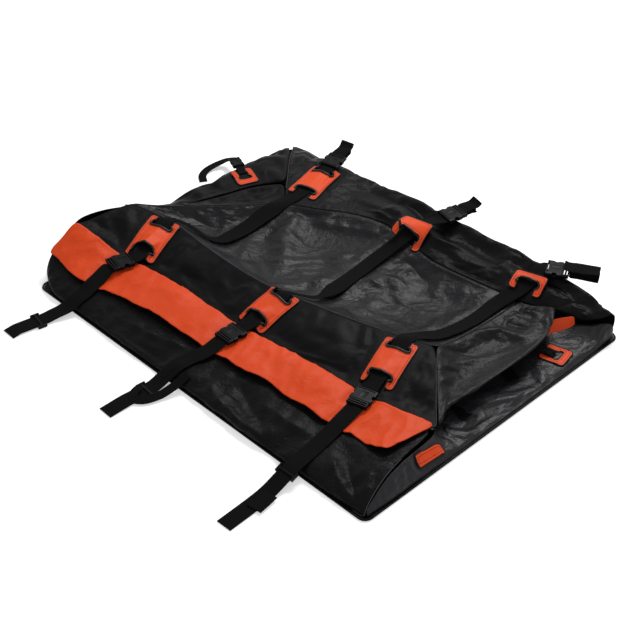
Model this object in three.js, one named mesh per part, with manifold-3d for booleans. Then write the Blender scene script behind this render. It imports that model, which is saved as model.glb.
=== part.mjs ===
// A soft roof cargo bag of coated fabric, empty and zipped shut, lying collapsed on its base.
// Millimetres, +X along the long side, +Y to the back, +Z up.
// The origin is the centre of the base panel's underside.

import * as THREE from "three";
import { mergeVertices } from "three/addons/utils/BufferGeometryUtils.js";
import Module from "manifold-3d";

const wasm = await Module();
wasm.setup();

// Base panel and fabric
const baseLength = 1300;
const baseWidth = 1000;
const baseThickness = 2.4;
const baseCorner = 20;
const fabric = 1.6;
const seamGap = 0.4;
const sharpSeamGap = 1.3;
const footGap = 0.35;
const layGap = 0.5;

// Piping round the base
const pipingRadius = 3;
const pipingGap = 0.35;

// Webbing: wide on the three straps across the bag, narrow on the side straps
const webbingWidth = 48;
const sideWebbingWidth = 25;
const webbingThickness = 2.2;
const strapStep = 26;

// Orange-red patches
const patchWidth = 100;
const patchLength = 172;
const patchThickness = 1.8;
const neckWidth = webbingWidth + 4;
const slotWidth = webbingWidth + 18;
const neckDepth = 22;
const slotDepth = 17;
const sidePatchWidth = 70;
const sidePatchLength = 80;
const sideNotchDepth = 56;
const cornerTabWidth = 26;
const cornerTabLength = 96;

// Storm flap and zip
const flapRipple = 5;
const zipWidth = 10;
const sliderLength = 26;
const sliderWidth = 17;
const sliderWall = 2;
const tabLength = 34;
const tabWidth = 9;
const sliderTravel = 120;
const runningGap = 0.5;
const zipTeeth = 2.2;
const zipSteps = 20;
const slotFrame = 3.6;

// Side-release buckles
const buckleWidth = webbingWidth + 16;
const buckleThickness = 14;
const femaleLength = 44;
const socketWidth = webbingWidth + 3;
const socketHeight = 8;
const socketBar = 6;
const maleLength = 20;
const prongLength = 30;
const prongThickness = 6;
const prongWidth = 8;
const mainBuckle = {
  webbing: webbingWidth, width: buckleWidth, thickness: buckleThickness, sleeve: femaleLength,
  socket: socketWidth, hollow: socketHeight, bar: socketBar, base: maleLength,
  prong: prongLength, prongHigh: prongThickness, prongWide: prongWidth,
};

// The smaller buckles of the side straps
const sideBuckleWidth = sideWebbingWidth + 12;
const sideBuckleThickness = 10;
const sideFemaleLength = 30;
const sideSocketWidth = sideWebbingWidth + 3;
const sideSocketHeight = 5.6;
const sideSocketBar = 4;
const sideMaleLength = 14;
const sideProngLength = 20;
const sideProngThickness = 4;
const sideProngWidth = 5;
const sideBuckle = {
  webbing: sideWebbingWidth, width: sideBuckleWidth, thickness: sideBuckleThickness,
  sleeve: sideFemaleLength, socket: sideSocketWidth, hollow: sideSocketHeight,
  bar: sideSocketBar, base: sideMaleLength,
  prong: sideProngLength, prongHigh: sideProngThickness, prongWide: sideProngWidth,
};

// Triglides on the front tails
const triglideLength = 26;
const triglideBar = 6;
const triglidePlate = 2.6;
const triglideRail = 5;

// Folded tails
const sideFoldLength = 30;
const sideFoldCount = 3;
const foldCount = 5;
const bundleCount = 8;
const foldPitch = webbingThickness + 1;

const halfLength = baseLength / 2;
const halfWidth = baseWidth / 2;
const edgeHeight = baseThickness + fabric;

// Places are given from the nearest base edge: the share along that edge, the reach inwards
// from it and the height above the floor.
const onFront = (share, reach, height = 0) => (
  new THREE.Vector3(share * halfLength, reach - halfWidth, height));
const onBack = (share, reach, height = 0) => (
  new THREE.Vector3(share * halfLength, halfWidth - reach, height));
const onLeft = (share, reach, height = 0) => (
  new THREE.Vector3(reach - halfLength, share * halfWidth, height));
const onRight = (share, reach, height = 0) => (
  new THREE.Vector3(halfLength - reach, share * halfWidth, height));

const line = (place, points) => points.map((point) => place(...point));

// A smooth surface through rows of control points. u runs along the rows, v across them.
function surfaceThrough(rows) {
  const curves = rows.map((row) => new THREE.CatmullRomCurve3(row, false, "centripetal"));
  const crossings = new Map();
  return (u, v) => {
    if (!crossings.has(u)) {
      const points = curves.map((curve) => curve.getPoint(u));
      crossings.set(u, new THREE.CatmullRomCurve3(points, false, "centripetal"));
    }
    return crossings.get(u).getPoint(v);
  };
}

// One closed sheet over a grid of points. Cells can be left out, and each point has its own
// normal and thickness, which may be split unevenly about the point.
function sheetSolid(grid, keepCell, flip) {
  const columns = grid.length;
  const rows = grid[0].length;
  const positions = [];
  const upper = [];
  const lower = [];
  for (let i = 0; i < columns; i += 1) {
    upper.push([]);
    lower.push([]);
    for (let j = 0; j < rows; j += 1) {
      const cell = grid[i][j];
      const top = cell.point.clone().addScaledVector(cell.normal, cell.above);
      const bottom = cell.point.clone().addScaledVector(cell.normal, -cell.below);
      upper[i].push(positions.length / 3);
      positions.push(top.x, top.y, top.z);
      lower[i].push(positions.length / 3);
      positions.push(bottom.x, bottom.y, bottom.z);
    }
  }
  const kept = (i, j) => i >= 0 && j >= 0 && i < columns - 1 && j < rows - 1 && keepCell(i, j);
  const faces = [];
  const quad = (a, b, c, d) => faces.push(a, b, c, a, c, d);
  for (let i = 0; i < columns - 1; i += 1) {
    for (let j = 0; j < rows - 1; j += 1) {
      if (!kept(i, j)) continue;
      quad(upper[i][j], upper[i + 1][j], upper[i + 1][j + 1], upper[i][j + 1]);
      quad(lower[i][j], lower[i][j + 1], lower[i + 1][j + 1], lower[i + 1][j]);
      if (!kept(i, j - 1)) quad(upper[i][j], lower[i][j], lower[i + 1][j], upper[i + 1][j]);
      if (!kept(i, j + 1)) quad(upper[i + 1][j + 1], lower[i + 1][j + 1], lower[i][j + 1],
        upper[i][j + 1]);
      if (!kept(i - 1, j)) quad(upper[i][j + 1], lower[i][j + 1], lower[i][j], upper[i][j]);
      if (!kept(i + 1, j)) quad(upper[i + 1][j], lower[i + 1][j], lower[i + 1][j + 1],
        upper[i + 1][j + 1]);
    }
  }
  if (flip) faces.reverse();
  const geometry = new THREE.BufferGeometry();
  geometry.setAttribute("position", new THREE.Float32BufferAttribute(positions, 3));
  geometry.setIndex(faces);
  geometry.computeVertexNormals();
  return geometry;
}

// A fabric panel: the surface sampled in even steps, its four edges drawn back from the seams.
// A seam where two panels meet at a sharp angle needs a wider step back. The foot is the edge
// that is sewn to the base panel.
function clothPanel(surface, columns, rows, sharp = {}) {
  const grid = [];
  for (let i = 0; i <= columns; i += 1) {
    grid.push([]);
    for (let j = 0; j <= rows; j += 1) {
      grid[i].push({ point: surface(i / columns, j / rows), above: fabric / 2, below: fabric / 2 });
    }
  }
  const drawBack = (edge, inner, isSharp) => {
    const way = inner.point.clone().sub(edge.point).normalize();
    edge.point.addScaledVector(way, isSharp ? sharpSeamGap : seamGap);
  };
  for (let i = 0; i <= columns; i += 1) {
    drawBack(grid[i][0], grid[i][1], sharp.first);
    drawBack(grid[i][rows], grid[i][rows - 1], sharp.last);
  }
  for (let j = 0; j <= rows; j += 1) {
    drawBack(grid[0][j], grid[1][j], sharp.left);
    drawBack(grid[columns][j], grid[columns - 1][j], sharp.right);
  }
  for (let i = 0; i <= columns; i += 1) {
    for (let j = 0; j <= rows; j += 1) {
      const next = grid[Math.min(i + 1, columns)][j].point;
      const along = next.clone().sub(grid[Math.max(i - 1, 0)][j].point);
      const across = grid[i][Math.min(j + 1, rows)].point.clone().sub(grid[i][Math.max(j - 1, 0)].point);
      grid[i][j].normal = along.cross(across).normalize();
    }
  }
  if (sharp.foot) {
    for (const column of grid) {
      const cell = column[sharp.foot === "first" ? 0 : rows];
      cell.point.z = baseThickness + footGap + (Math.abs(cell.normal.z) * fabric) / 2;
    }
  }
  return sheetSolid(grid, () => true, false);
}

// What is already laid down, seen from above: the height of the highest face at any place.
const binSize = 40;
const probeStep = 1.6;
const probeReach = 1.3;
const groundBins = new Map();
const binKey = (x, y) => `${Math.floor(x / binSize)},${Math.floor(y / binSize)}`;

function layDown(geometry) {
  const position = geometry.getAttribute("position");
  const index = geometry.getIndex();
  const corner = (k) => new THREE.Vector3().fromBufferAttribute(position, index ? index.getX(k) : k);
  const total = index ? index.count : position.count;
  for (let k = 0; k < total; k += 3) {
    const face = [corner(k), corner(k + 1), corner(k + 2)];
    const xs = face.map((point) => point.x);
    const ys = face.map((point) => point.y);
    for (let x = Math.floor(Math.min(...xs) / binSize); x <= Math.floor(Math.max(...xs) / binSize); x += 1) {
      for (let y = Math.floor(Math.min(...ys) / binSize); y <= Math.floor(Math.max(...ys) / binSize); y += 1) {
        const key = `${x},${y}`;
        if (!groundBins.has(key)) groundBins.set(key, []);
        groundBins.get(key).push(face);
      }
    }
  }
}

function groundHeight(x, y) {
  let highest = 0;
  for (const [a, b, c] of groundBins.get(binKey(x, y)) ?? []) {
    const area = (b.x - a.x) * (c.y - a.y) - (c.x - a.x) * (b.y - a.y);
    if (Math.abs(area) < 1e-6) continue;
    const towardsB = ((x - a.x) * (c.y - a.y) - (c.x - a.x) * (y - a.y)) / area;
    const towardsC = ((b.x - a.x) * (y - a.y) - (x - a.x) * (b.y - a.y)) / area;
    if (towardsB < -1e-6 || towardsC < -1e-6 || towardsB + towardsC > 1 + 1e-6) continue;
    highest = Math.max(highest, a.z + towardsB * (b.z - a.z) + towardsC * (c.z - a.z));
  }
  return highest;
}

// The grid's points are raised until every cell clears the ground under it by the gap.
function raiseClear(grid, gap, shifts) {
  const probes = (from, to) => {
    const count = Math.max(4, Math.ceil(from.distanceTo(to) / probeStep));
    return Array.from({ length: count + 1 }, (_, k) => k / count);
  };
  const groundUnder = (x, y) => Math.max(...shifts.map(([dx, dy]) => groundHeight(x + dx, y + dy)));
  for (let pass = 0; pass < 4; pass += 1) {
    for (let i = 0; i < grid.length - 1; i += 1) {
      for (let j = 0; j < grid[0].length - 1; j += 1) {
        const corners = [grid[i][j], grid[i + 1][j], grid[i + 1][j + 1], grid[i][j + 1]];
        let lack = 0;
        for (const s of probes(corners[0].point, corners[1].point)) {
          for (const t of probes(corners[0].point, corners[3].point)) {
            const shares = s >= t ? [1 - s, s - t, t, 0] : [1 - t, 0, s, t - s];
            const place = new THREE.Vector3();
            corners.forEach((corner, k) => place.addScaledVector(corner.point, shares[k]));
            const lowest = Math.min(...corners.map((corner) => corner.below));
            lack = Math.max(lack, groundUnder(place.x, place.y) + gap + lowest - place.z);
          }
        }
        const free = corners.filter((corner) => !corner.pinned);
        if (lack > 0) free.forEach((corner) => { corner.point.z += lack * (pass < 3 ? 0.6 : 1); });
      }
    }
  }
}

const up = new THREE.Vector3(0, 0, 1);
const still = [[0, 0]];
const around = [[0, 0], [probeReach, 0], [-probeReach, 0], [0, probeReach], [0, -probeReach]];

// A flat piece laid on the ground: lines a across it and b along it, cells kept by a mask.
function laidPatch({ centre, heading, across, along, keep, thick }) {
  const forward = heading.clone().setZ(0).normalize();
  const side = new THREE.Vector3(forward.y, -forward.x, 0);
  const walk = [];
  let reach = 0;
  let walked = 0;
  const step = 2;
  const total = along[along.length - 1] - along[0];
  const start = new THREE.Vector3(centre.x, centre.y, 0);
  walk.push([0, 0]);
  while (walked < total) {
    const here = start.clone().addScaledVector(forward, reach);
    const next = start.clone().addScaledVector(forward, reach + step);
    const rise = groundHeight(next.x, next.y) - groundHeight(here.x, here.y);
    walked += Math.hypot(step, Math.min(Math.abs(rise), 3 * step));
    reach += step;
    walk.push([walked, reach]);
  }
  const reachAt = (length) => {
    const k = walk.findIndex(([done]) => done >= length);
    if (k <= 0) return 0;
    const [doneA, reachA] = walk[k - 1];
    const [doneB, reachB] = walk[k];
    return reachA + ((reachB - reachA) * (length - doneA)) / (doneB - doneA);
  };
  const grid = across.map((a) => along.map((b) => {
    const place = start.clone().addScaledVector(side, a).addScaledVector(forward, reachAt(b - along[0]));
    place.z = groundHeight(place.x, place.y) + layGap;
    return { point: place, normal: up, above: thick(a, b), below: 0 };
  }));
  raiseClear(grid, layGap, around);
  const kept = (i, j) => keep((across[i] + across[i + 1]) / 2, (along[j] + along[j + 1]) / 2);
  return sheetSolid(grid, kept, false);
}

const material = (name, color, roughness) => (
  new THREE.MeshStandardMaterial({ name, color, roughness, metalness: 0 }));
const wallMaterial = material("matt coated fabric", 0x17181a, 0.62);
const topMaterial = material("satin coated fabric", 0x2b2b2f, 0.42);
const orangeMaterial = material("orange-red coated fabric", 0xe8502a, 0.5);
const webbingMaterial = material("black webbing", 0x101011, 0.85);
const plasticMaterial = material("black plastic", 0x1a1b1e, 0.4);

const group = new THREE.Group();

function addPiece(name, geometry, material) {
  const mesh = new THREE.Mesh(geometry, material);
  mesh.name = name;
  group.add(mesh);
  return mesh;
}

function addLaid(name, geometry, material) {
  addPiece(name, geometry, material);
  layDown(geometry);
}

// Base panel and its piping
function roundedRectangle(length, width, radius) {
  const shape = new THREE.Shape();
  const x = length / 2;
  const y = width / 2;
  shape.moveTo(-x + radius, -y);
  shape.lineTo(x - radius, -y);
  shape.absarc(x - radius, -y + radius, radius, -Math.PI / 2, 0, false);
  shape.lineTo(x, y - radius);
  shape.absarc(x - radius, y - radius, radius, 0, Math.PI / 2, false);
  shape.lineTo(-x + radius, y);
  shape.absarc(-x + radius, y - radius, radius, Math.PI / 2, Math.PI, false);
  shape.lineTo(-x, -y + radius);
  shape.absarc(-x + radius, -y + radius, radius, Math.PI, 1.5 * Math.PI, false);
  return shape;
}

const basePanel = new THREE.ExtrudeGeometry(roundedRectangle(baseLength, baseWidth, baseCorner), {
  depth: baseThickness, bevelEnabled: false, curveSegments: 5,
});
addLaid("base_panel", basePanel, wallMaterial);

function pipingGeometry() {
  const out = 2 * (pipingGap + pipingRadius);
  const outline = roundedRectangle(baseLength + out, baseWidth + out, baseCorner + out / 2);
  const corners = outline.getPoints(3).map((point) => new THREE.Vector2(point.x, point.y));
  if (corners[0].distanceTo(corners[corners.length - 1]) < 1e-6) corners.pop();
  const sides = 6;
  const positions = [];
  const faces = [];
  corners.forEach((corner, i) => {
    const before = corners[(i + corners.length - 1) % corners.length];
    const after = corners[(i + 1) % corners.length];
    const tangent = after.clone().sub(before).normalize();
    for (let k = 0; k < sides; k += 1) {
      const angle = (k / sides) * 2 * Math.PI;
      const outwards = Math.cos(angle) * pipingRadius;
      const height = pipingRadius + 0.3 + Math.sin(angle) * pipingRadius;
      positions.push(corner.x + tangent.y * outwards, corner.y - tangent.x * outwards, height);
      const a = i * sides + k;
      const b = i * sides + ((k + 1) % sides);
      const c = ((i + 1) % corners.length) * sides + ((k + 1) % sides);
      const d = ((i + 1) % corners.length) * sides + k;
      faces.push(a, c, b, a, d, c);
    }
  });
  const geometry = new THREE.BufferGeometry();
  geometry.setAttribute("position", new THREE.Float32BufferAttribute(positions, 3));
  geometry.setIndex(faces);
  geometry.computeVertexNormals();
  return geometry;
}
addLaid("base_piping", pipingGeometry(), wallMaterial);

// Panels that share a long seam are sampled in equal steps along it
const spanSteps = 3;
const stepsAlong = (row) => (row.length - 1) * spanSteps;
const topSteps = 11;

// Seam lines of the collapsed bag, left to right or front to back
const e = edgeHeight;
const frontEdge = line(onFront, [
  [-0.987, 24, e], [-0.92, 4, e], [-0.77, 4, e], [-0.54, 4, e], [-0.1, 4, e],
  [0.23, 4, e], [0.54, 4, e], [0.8, 4, e], [0.986, 8, e]]);
const frontBulge = line(onFront, [
  [-1.018, 30, 32], [-0.92, -1, 26], [-0.77, -3, 24], [-0.54, 0, 24], [-0.1, -2, 24],
  [0.23, -3, 24], [0.54, -4, 24], [0.8, -2, 26], [0.98, 13, 22]]);
const frontBelly = line(onFront, [
  [-1.052, 68, 62], [-0.93, 60, 50], [-0.785, 70, 42], [-0.555, 90, 40], [-0.12, 90, 38],
  [0.21, 100, 38], [0.525, 105, 40], [0.78, 108, 44], [0.946, 96, 54]]);
const frontShelf = line(onFront, [
  [-1.062, 115, 94], [-0.933, 125, 70], [-0.792, 140, 52], [-0.565, 155, 48], [-0.13, 160, 46],
  [0.19, 175, 46], [0.517, 185, 48], [0.76, 200, 52], [0.92, 195, 60]]);
const frontZip = line(onFront, [
  [-1.062, 155, 118], [-0.934, 170, 88], [-0.8, 189, 62], [-0.572, 211, 56], [-0.137, 221, 54],
  [0.175, 245, 54], [0.508, 260, 55], [0.74, 282, 57], [0.908, 312, 60]]);
const frontTop = line(onFront, [
  [-1.008, 350, 118], [-0.908, 378, 104], [-0.77, 397, 93], [-0.56, 388, 90], [-0.208, 390, 90],
  [-0.015, 415, 90], [0.277, 462, 90], [0.477, 505, 90], [0.603, 535, 90]]);
const topBack = line(onFront, [
  [-0.606, 725, 58], [-0.546, 750, 58], [-0.446, 790, 56], [-0.362, 830, 55], [-0.17, 868, 60],
  [0, 850, 60], [0.177, 838, 58], [0.4, 855, 58], [0.615, 872, 60]]);

const between = (lineA, lineB, share, rise) => lineA.map((point, i) => {
  const place = point.clone().lerp(lineB[i], share);
  place.z += rise;
  return place;
});
const shifted = (row, dx, dy, dz) => row.map((point) => point.clone().add(new THREE.Vector3(dx, dy, dz)));

// Front wall, in two panels with the zip between them
addLaid("front_lower_wall",
  clothPanel(surfaceThrough([frontEdge, frontBulge, frontBelly, frontShelf, frontZip]),
    stepsAlong(frontZip), 6, { foot: "first" }), wallMaterial);
const upperHem = shifted(frontZip, 0, zipWidth, 1);
addLaid("front_upper_wall", clothPanel(surfaceThrough([
  upperHem, between(upperHem, frontTop, 0.2, -5), between(upperHem, frontTop, 0.6, 2), frontTop]),
    stepsAlong(frontZip), 5), wallMaterial);

// Top panel, sagging into the empty bag, with its main folds
const sagShare = [0, 0.12, 0.3, 0.5, 0.7, 0.88, 1];
const sagDepth = [0, 0.62, 0.95, 1, 0.94, 0.6, 0];
const sideHold = [0.12, 0.6, 0.9, 1, 1, 1, 0.95, 0.75, 0.35];
const sagLevel = 30;
const topRows = sagShare.map((share, row) => frontTop.map((start, column) => {
  const place = start.clone().lerp(topBack[column], share);
  place.z += (sagLevel - place.z) * sagDepth[row] * sideHold[column];
  return place;
}));
const folds = [
  { from: [-330, 190], to: [-120, -20], height: 9, width: 26 },
  { from: [-300, 60], to: [-60, 150], height: 7, width: 24 },
  { from: [-90, 40], to: [110, 240], height: 10, width: 30 },
  { from: [20, 230], to: [300, 130], height: 8, width: 28 },
  { from: [120, 60], to: [330, 90], height: 8, width: 26 },
  { from: [170, 300], to: [340, 330], height: 9, width: 24 },
  { from: [-420, 60], to: [-250, 20], height: 8, width: 26 },
];
function foldHeight(x, y) {
  let height = 0;
  for (const fold of folds) {
    const [x0, y0] = fold.from;
    const [x1, y1] = fold.to;
    const lengthSquared = (x1 - x0) ** 2 + (y1 - y0) ** 2;
    const share = Math.min(1, Math.max(0, ((x - x0) * (x1 - x0) + (y - y0) * (y1 - y0)) / lengthSquared));
    const distance = Math.hypot(x - x0 - share * (x1 - x0), y - y0 - share * (y1 - y0));
    height += fold.height * Math.exp(-((distance / fold.width) ** 2));
  }
  return height;
}
const topSurface = surfaceThrough(topRows);
const foldedTop = (u, v) => {
  const place = topSurface(u, v);
  const inside = Math.min(1, 8 * Math.min(u, 1 - u), 8 * Math.min(v, 1 - v));
  place.z += inside * foldHeight(place.x, place.y);
  return place;
};
addLaid("top_panel", clothPanel(foldedTop, stepsAlong(frontZip), topSteps, { left: true, last: true }),
  topMaterial);

// Left wall. It stands at the front corner and lies inwards towards the back.
const leftEdge = line(onLeft, [
  [-0.93, 7, e], [-0.72, 3, e], [-0.4, 3, e], [-0.1, 3, e], [0.22, 3, e], [0.5, 3, e], [0.75, 3, e],
    [0.93, 6, e]]);
const leftRim = line(onLeft, [
  [-0.85, -26, 52], [-0.7, -44, 66], [-0.45, -34, 66], [-0.15, -14, 48], [0.2, -6, 42], [0.5, -6, 38],
    [0.78, -4, 32], [0.965, 5, 24]]);
const leftShoulder = line(onLeft, [
  [-0.762, -41, 92], [-0.66, -52, 104], [-0.42, -38, 102], [-0.12, -2, 66], [0.2, 14, 56],
    [0.48, 16, 52], [0.74, 30, 44], [0.88, 50, 40]]);
const leftZip = line(onLeft, [
  [-0.675, -40, 117], [-0.6, -50, 121], [-0.38, -24, 115], [-0.06, 40, 70], [0.24, 78, 52],
    [0.45, 104, 48], [0.56, 138, 50], [0.63, 168, 56]]);
addLaid("left_lower_wall",
  clothPanel(surfaceThrough([leftEdge, leftRim, leftShoulder, leftZip].reverse()), 16, 5,
    { foot: "last" }), wallMaterial);

const leftHemLine = line(onLeft, [[-0.34, -27, 114], [-0.04, 49, 72], [0.235, 86, 54], [0.44, 112, 50],
  [0.6, 176, 58]]);
const topShares = Array.from({ length: topSteps + 1 }, (_, i) => i / topSteps);
const sideSeam = (u) => topShares.map((share) => topSurface(u, share));
const resampled = (row) => {
  const curve = new THREE.CatmullRomCurve3(row, false, "centripetal");
  return topShares.map((share) => curve.getPoint(share));
};
const leftHem = resampled(leftHemLine);
addLaid("left_upper_wall", clothPanel(surfaceThrough([
  sideSeam(0), between(sideSeam(0), leftHem, 0.5, -6), leftHem]), topSteps, 3,
  { first: true, left: true, last: true }), wallMaterial);

// Back wall: up from the base, over a rim, through a valley and over the crest that the straps
// cross, then down to the top panel
const backEdge = line(onBack, [
  [-0.975, 10, e], [-0.7, 4, e], [-0.53, 4, e], [-0.4, 4, e], [-0.17, 4, e],
  [0.05, 4, e], [0.29, 4, e], [0.5, 4, e], [0.77, 4, e], [0.978, 9, e]]);
const backRim = line(onBack, [
  [-0.98, 6, 26], [-0.69, -4, 42], [-0.52, -5, 48], [-0.395, -5, 53], [-0.165, -6, 68],
  [0.045, -7, 78], [0.285, -8, 84], [0.5, -9, 88], [0.77, -10, 88], [0.985, 4, 66]]);
const backShoulder = line(onBack, [
  [-0.93, 42, 38], [-0.67, 14, 54], [-0.515, 13, 60], [-0.39, 12, 67], [-0.16, 9, 88],
  [0.04, 8, 93], [0.28, 8, 97], [0.5, 6, 101], [0.77, 4, 101], [0.98, 13, 86]]);
const backValley = line(onBack, [
  [-0.86, 100, 47], [-0.65, 60, 56], [-0.505, 46, 58], [-0.385, 42, 58], [-0.158, 42, 60],
  [0.03, 46, 58], [0.275, 42, 62], [0.51, 34, 70], [0.765, 26, 78], [0.955, 30, 72]]);
const backCrest = line(onBack, [
  [-0.76, 168, 54], [-0.615, 120, 60], [-0.485, 100, 64], [-0.38, 88, 68], [-0.155, 88, 91],
  [0.012, 100, 95], [0.25, 88, 88], [0.5, 64, 92], [0.745, 52, 90], [0.925, 44, 62]]);
const backFall = line(onBack, [
  [-0.69, 220, 57], [-0.585, 178, 58], [-0.465, 148, 59], [-0.37, 126, 60], [-0.16, 112, 72],
  [0.006, 128, 74], [0.21, 128, 68], [0.45, 102, 70], [0.69, 88, 78], [0.89, 54, 50]]);
const cornerEnd = onBack(0.85, 62, 42);
const backSeam = [...shifted(topBack, 0, seamGap, 0), cornerEnd];
const backRows = [backEdge, backRim, backShoulder, backValley, backCrest, backFall, backSeam].reverse();
addLaid("back_wall", clothPanel(surfaceThrough(backRows), stepsAlong(backSeam), 10,
  { first: true, foot: "last" }), wallMaterial);

// Right lower wall: steep at the front corner, then flat on the base under the overhang
const rightEdge = line(onRight, [
  [-0.972, 7, e], [-0.8, 3, e], [-0.6, 3, e], [-0.38, 3, e], [-0.24, 3, e],
  [0.16, 3, e], [0.5, 3, e], [0.8, 3, e], [0.97, 7, e]]);
const rightLow = line(onRight, [
  [-0.97, 9, 11], [-0.8, 6, 14], [-0.6, 10, 14], [-0.38, 12, 13], [-0.24, 22, 11],
  [0.16, 24, 12], [0.5, 22, 12], [0.8, 16, 18], [0.968, 4, 42]]);
const rightFlat = line(onRight, [
  [-0.966, 12, 17], [-0.8, 18, 30], [-0.6, 27, 28], [-0.38, 32, 24], [-0.24, 70, 10],
  [0.16, 80, 10], [0.5, 80, 10], [0.79, 70, 16], [0.95, 10, 62]]);
const rightHem = line(onRight, [
  [-0.958, 15, 22], [-0.79, 32, 53], [-0.6, 45, 57], [-0.38, 55, 54], [-0.25, 130, 12],
  [0.16, 232, 10], [0.5, 232, 10], [0.76, 200, 16], [0.9, 66, 34]]);
addLaid("right_lower_wall",
  clothPanel(surfaceThrough([rightHem, rightFlat, rightLow, rightEdge].reverse()), 20, 6,
    { foot: "first" }), wallMaterial);

// Closed solids joined into one piece
function toSolid(geometry) {
  const bare = geometry.clone();
  bare.deleteAttribute("normal");
  bare.deleteAttribute("uv");
  const merged = mergeVertices(bare, 1e-4);
  return new wasm.Manifold(new wasm.Mesh({
    numProp: 3,
    vertProperties: new Float32Array(merged.getAttribute("position").array),
    triVerts: new Uint32Array(merged.getIndex().array),
  }));
}

function fromSolid(solid) {
  const mesh = solid.getMesh();
  const geometry = new THREE.BufferGeometry();
  geometry.setAttribute("position", new THREE.Float32BufferAttribute(mesh.vertProperties, 3));
  geometry.setIndex(Array.from(mesh.triVerts));
  geometry.computeVertexNormals();
  return geometry;
}

function joined(geometries) {
  const [first, ...rest] = geometries.map(toSolid);
  return fromSolid(rest.reduce((whole, next) => whole.add(next), first));
}

// A box from its lowest to its highest corner, in a frame where x runs along a strap, y across
// it and z up
function block(low, high) {
  const size = high.map((value, k) => value - low[k]);
  const box = new THREE.BoxGeometry(...size);
  box.translate(...low.map((value, k) => value + size[k] / 2));
  return box;
}

// The frame of a strap end: its start, and the level way that it runs
function strapFrame(start, angle) {
  const frame = new THREE.Matrix4().makeRotationZ(THREE.MathUtils.degToRad(angle));
  return frame.setPosition(start);
}
const baseInset = 2;
const guideBack = 6;
const restStep = 3;
const restMargin = 1.04;
const restSplits = 13;
const headingOf = (angle) => (
  new THREE.Vector3(1, 0, 0).applyAxisAngle(up, THREE.MathUtils.degToRad(angle)));

// The socket half: a flat sleeve, open at its mouth, with a bar at the webbing's end
function femaleGeometry(size) {
  const shape = new THREE.Shape();
  const y = size.width / 2;
  const high = size.thickness;
  const corner = high / 3;
  shape.moveTo(-y + corner, 0);
  shape.lineTo(y - corner, 0);
  shape.lineTo(y, corner);
  shape.lineTo(y, high - corner);
  shape.lineTo(y - corner, high);
  shape.lineTo(-y + corner, high);
  shape.lineTo(-y, high - corner);
  shape.lineTo(-y, corner);
  const hollow = new THREE.Path();
  const floor = (high - size.hollow) / 2;
  hollow.moveTo(-size.socket / 2, floor);
  hollow.lineTo(size.socket / 2, floor);
  hollow.lineTo(size.socket / 2, floor + size.hollow);
  hollow.lineTo(-size.socket / 2, floor + size.hollow);
  shape.holes.push(hollow);
  const geometry = new THREE.ExtrudeGeometry(shape, { depth: size.sleeve, bevelEnabled: false });
  geometry.applyMatrix4(new THREE.Matrix4().makeBasis(
    new THREE.Vector3(0, 1, 0), new THREE.Vector3(0, 0, 1), new THREE.Vector3(1, 0, 0)));
  const inner = size.socket / 2 + 1;
  const bar = block([0, -inner, floor - 1], [size.bar, inner, floor + size.hollow + 1]);
  return joined([geometry, bar]);
}

// The prong half: a base outside the socket, two spring arms and a guide inside it
function maleGeometry(size) {
  const start = size.sleeve + layGap;
  const middle = size.thickness / 2;
  const low = middle - size.prongHigh / 2;
  const high = middle + size.prongHigh / 2;
  const tip = start - size.prong;
  const inside = size.socket / 2 - runningGap;
  const side = size.width / 2 - baseInset;
  const base = block([start, -side, 1], [start + size.base, side, size.thickness - 1]);
  const guide = block([tip + guideBack, -size.prongWide / 2, low], [start + 1, size.prongWide / 2, high]);
  const arms = [-1, 1].map((way) => {
    const edges = [way * inside, way * (inside - size.prongWide)].sort((a, b) => a - b);
    return block([tip, edges[0], low], [start + 1, edges[1], high]);
  });
  return joined([base, guide, ...arms]);
}

// The level of a buckle's underside: clear of all that lies under it and under its way out
function restLevel(start, angle, length, width) {
  const forward = headingOf(angle);
  const side = new THREE.Vector3(-forward.y, forward.x, 0);
  let level = 0;
  for (let s = -restStep; s <= length + restStep; s += restStep) {
    for (let a = -restMargin; a <= restMargin; a += restMargin / restSplits) {
      const place = start.clone().addScaledVector(forward, s).addScaledVector(side, (a * width) / 2);
      level = Math.max(level, groundHeight(place.x, place.y));
    }
  }
  return level + 2 * layGap;
}

const reachOf = (size) => size.sleeve + layGap + size.base;
const travelOf = (size) => size.prong + 2;
const buckleAt = {};

// Two buckle halves lying level at a place, the socket nearer the bag. What lies under them can
// be thicker than the ground so far by an allowance.
function addBuckle(name, place, angle, size, allowance = 0) {
  const start = place.clone();
  const wayOut = reachOf(size) + travelOf(size) + sideFoldLength;
  start.z = restLevel(start, angle, wayOut, size.width) + allowance;
  const frame = strapFrame(start, angle);
  const female = femaleGeometry(size).applyMatrix4(frame);
  const male = maleGeometry(size).applyMatrix4(frame);
  addPiece(`${name}_buckle_socket`, female, plasticMaterial);
  addPiece(`${name}_buckle_prongs`, male, plasticMaterial);
  const end = start.clone().addScaledVector(headingOf(angle), reachOf(size) + layGap);
  const middle = start.z + size.thickness / 2 - webbingThickness / 2;
  end.z = middle;
  buckleAt[name] = { start, end, middle, angle, size, halves: [female, male] };
  return buckleAt[name];
}

// The halves count as ground for what is laid after them
const settleBuckle = (name) => buckleAt[name].halves.forEach(layDown);

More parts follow.
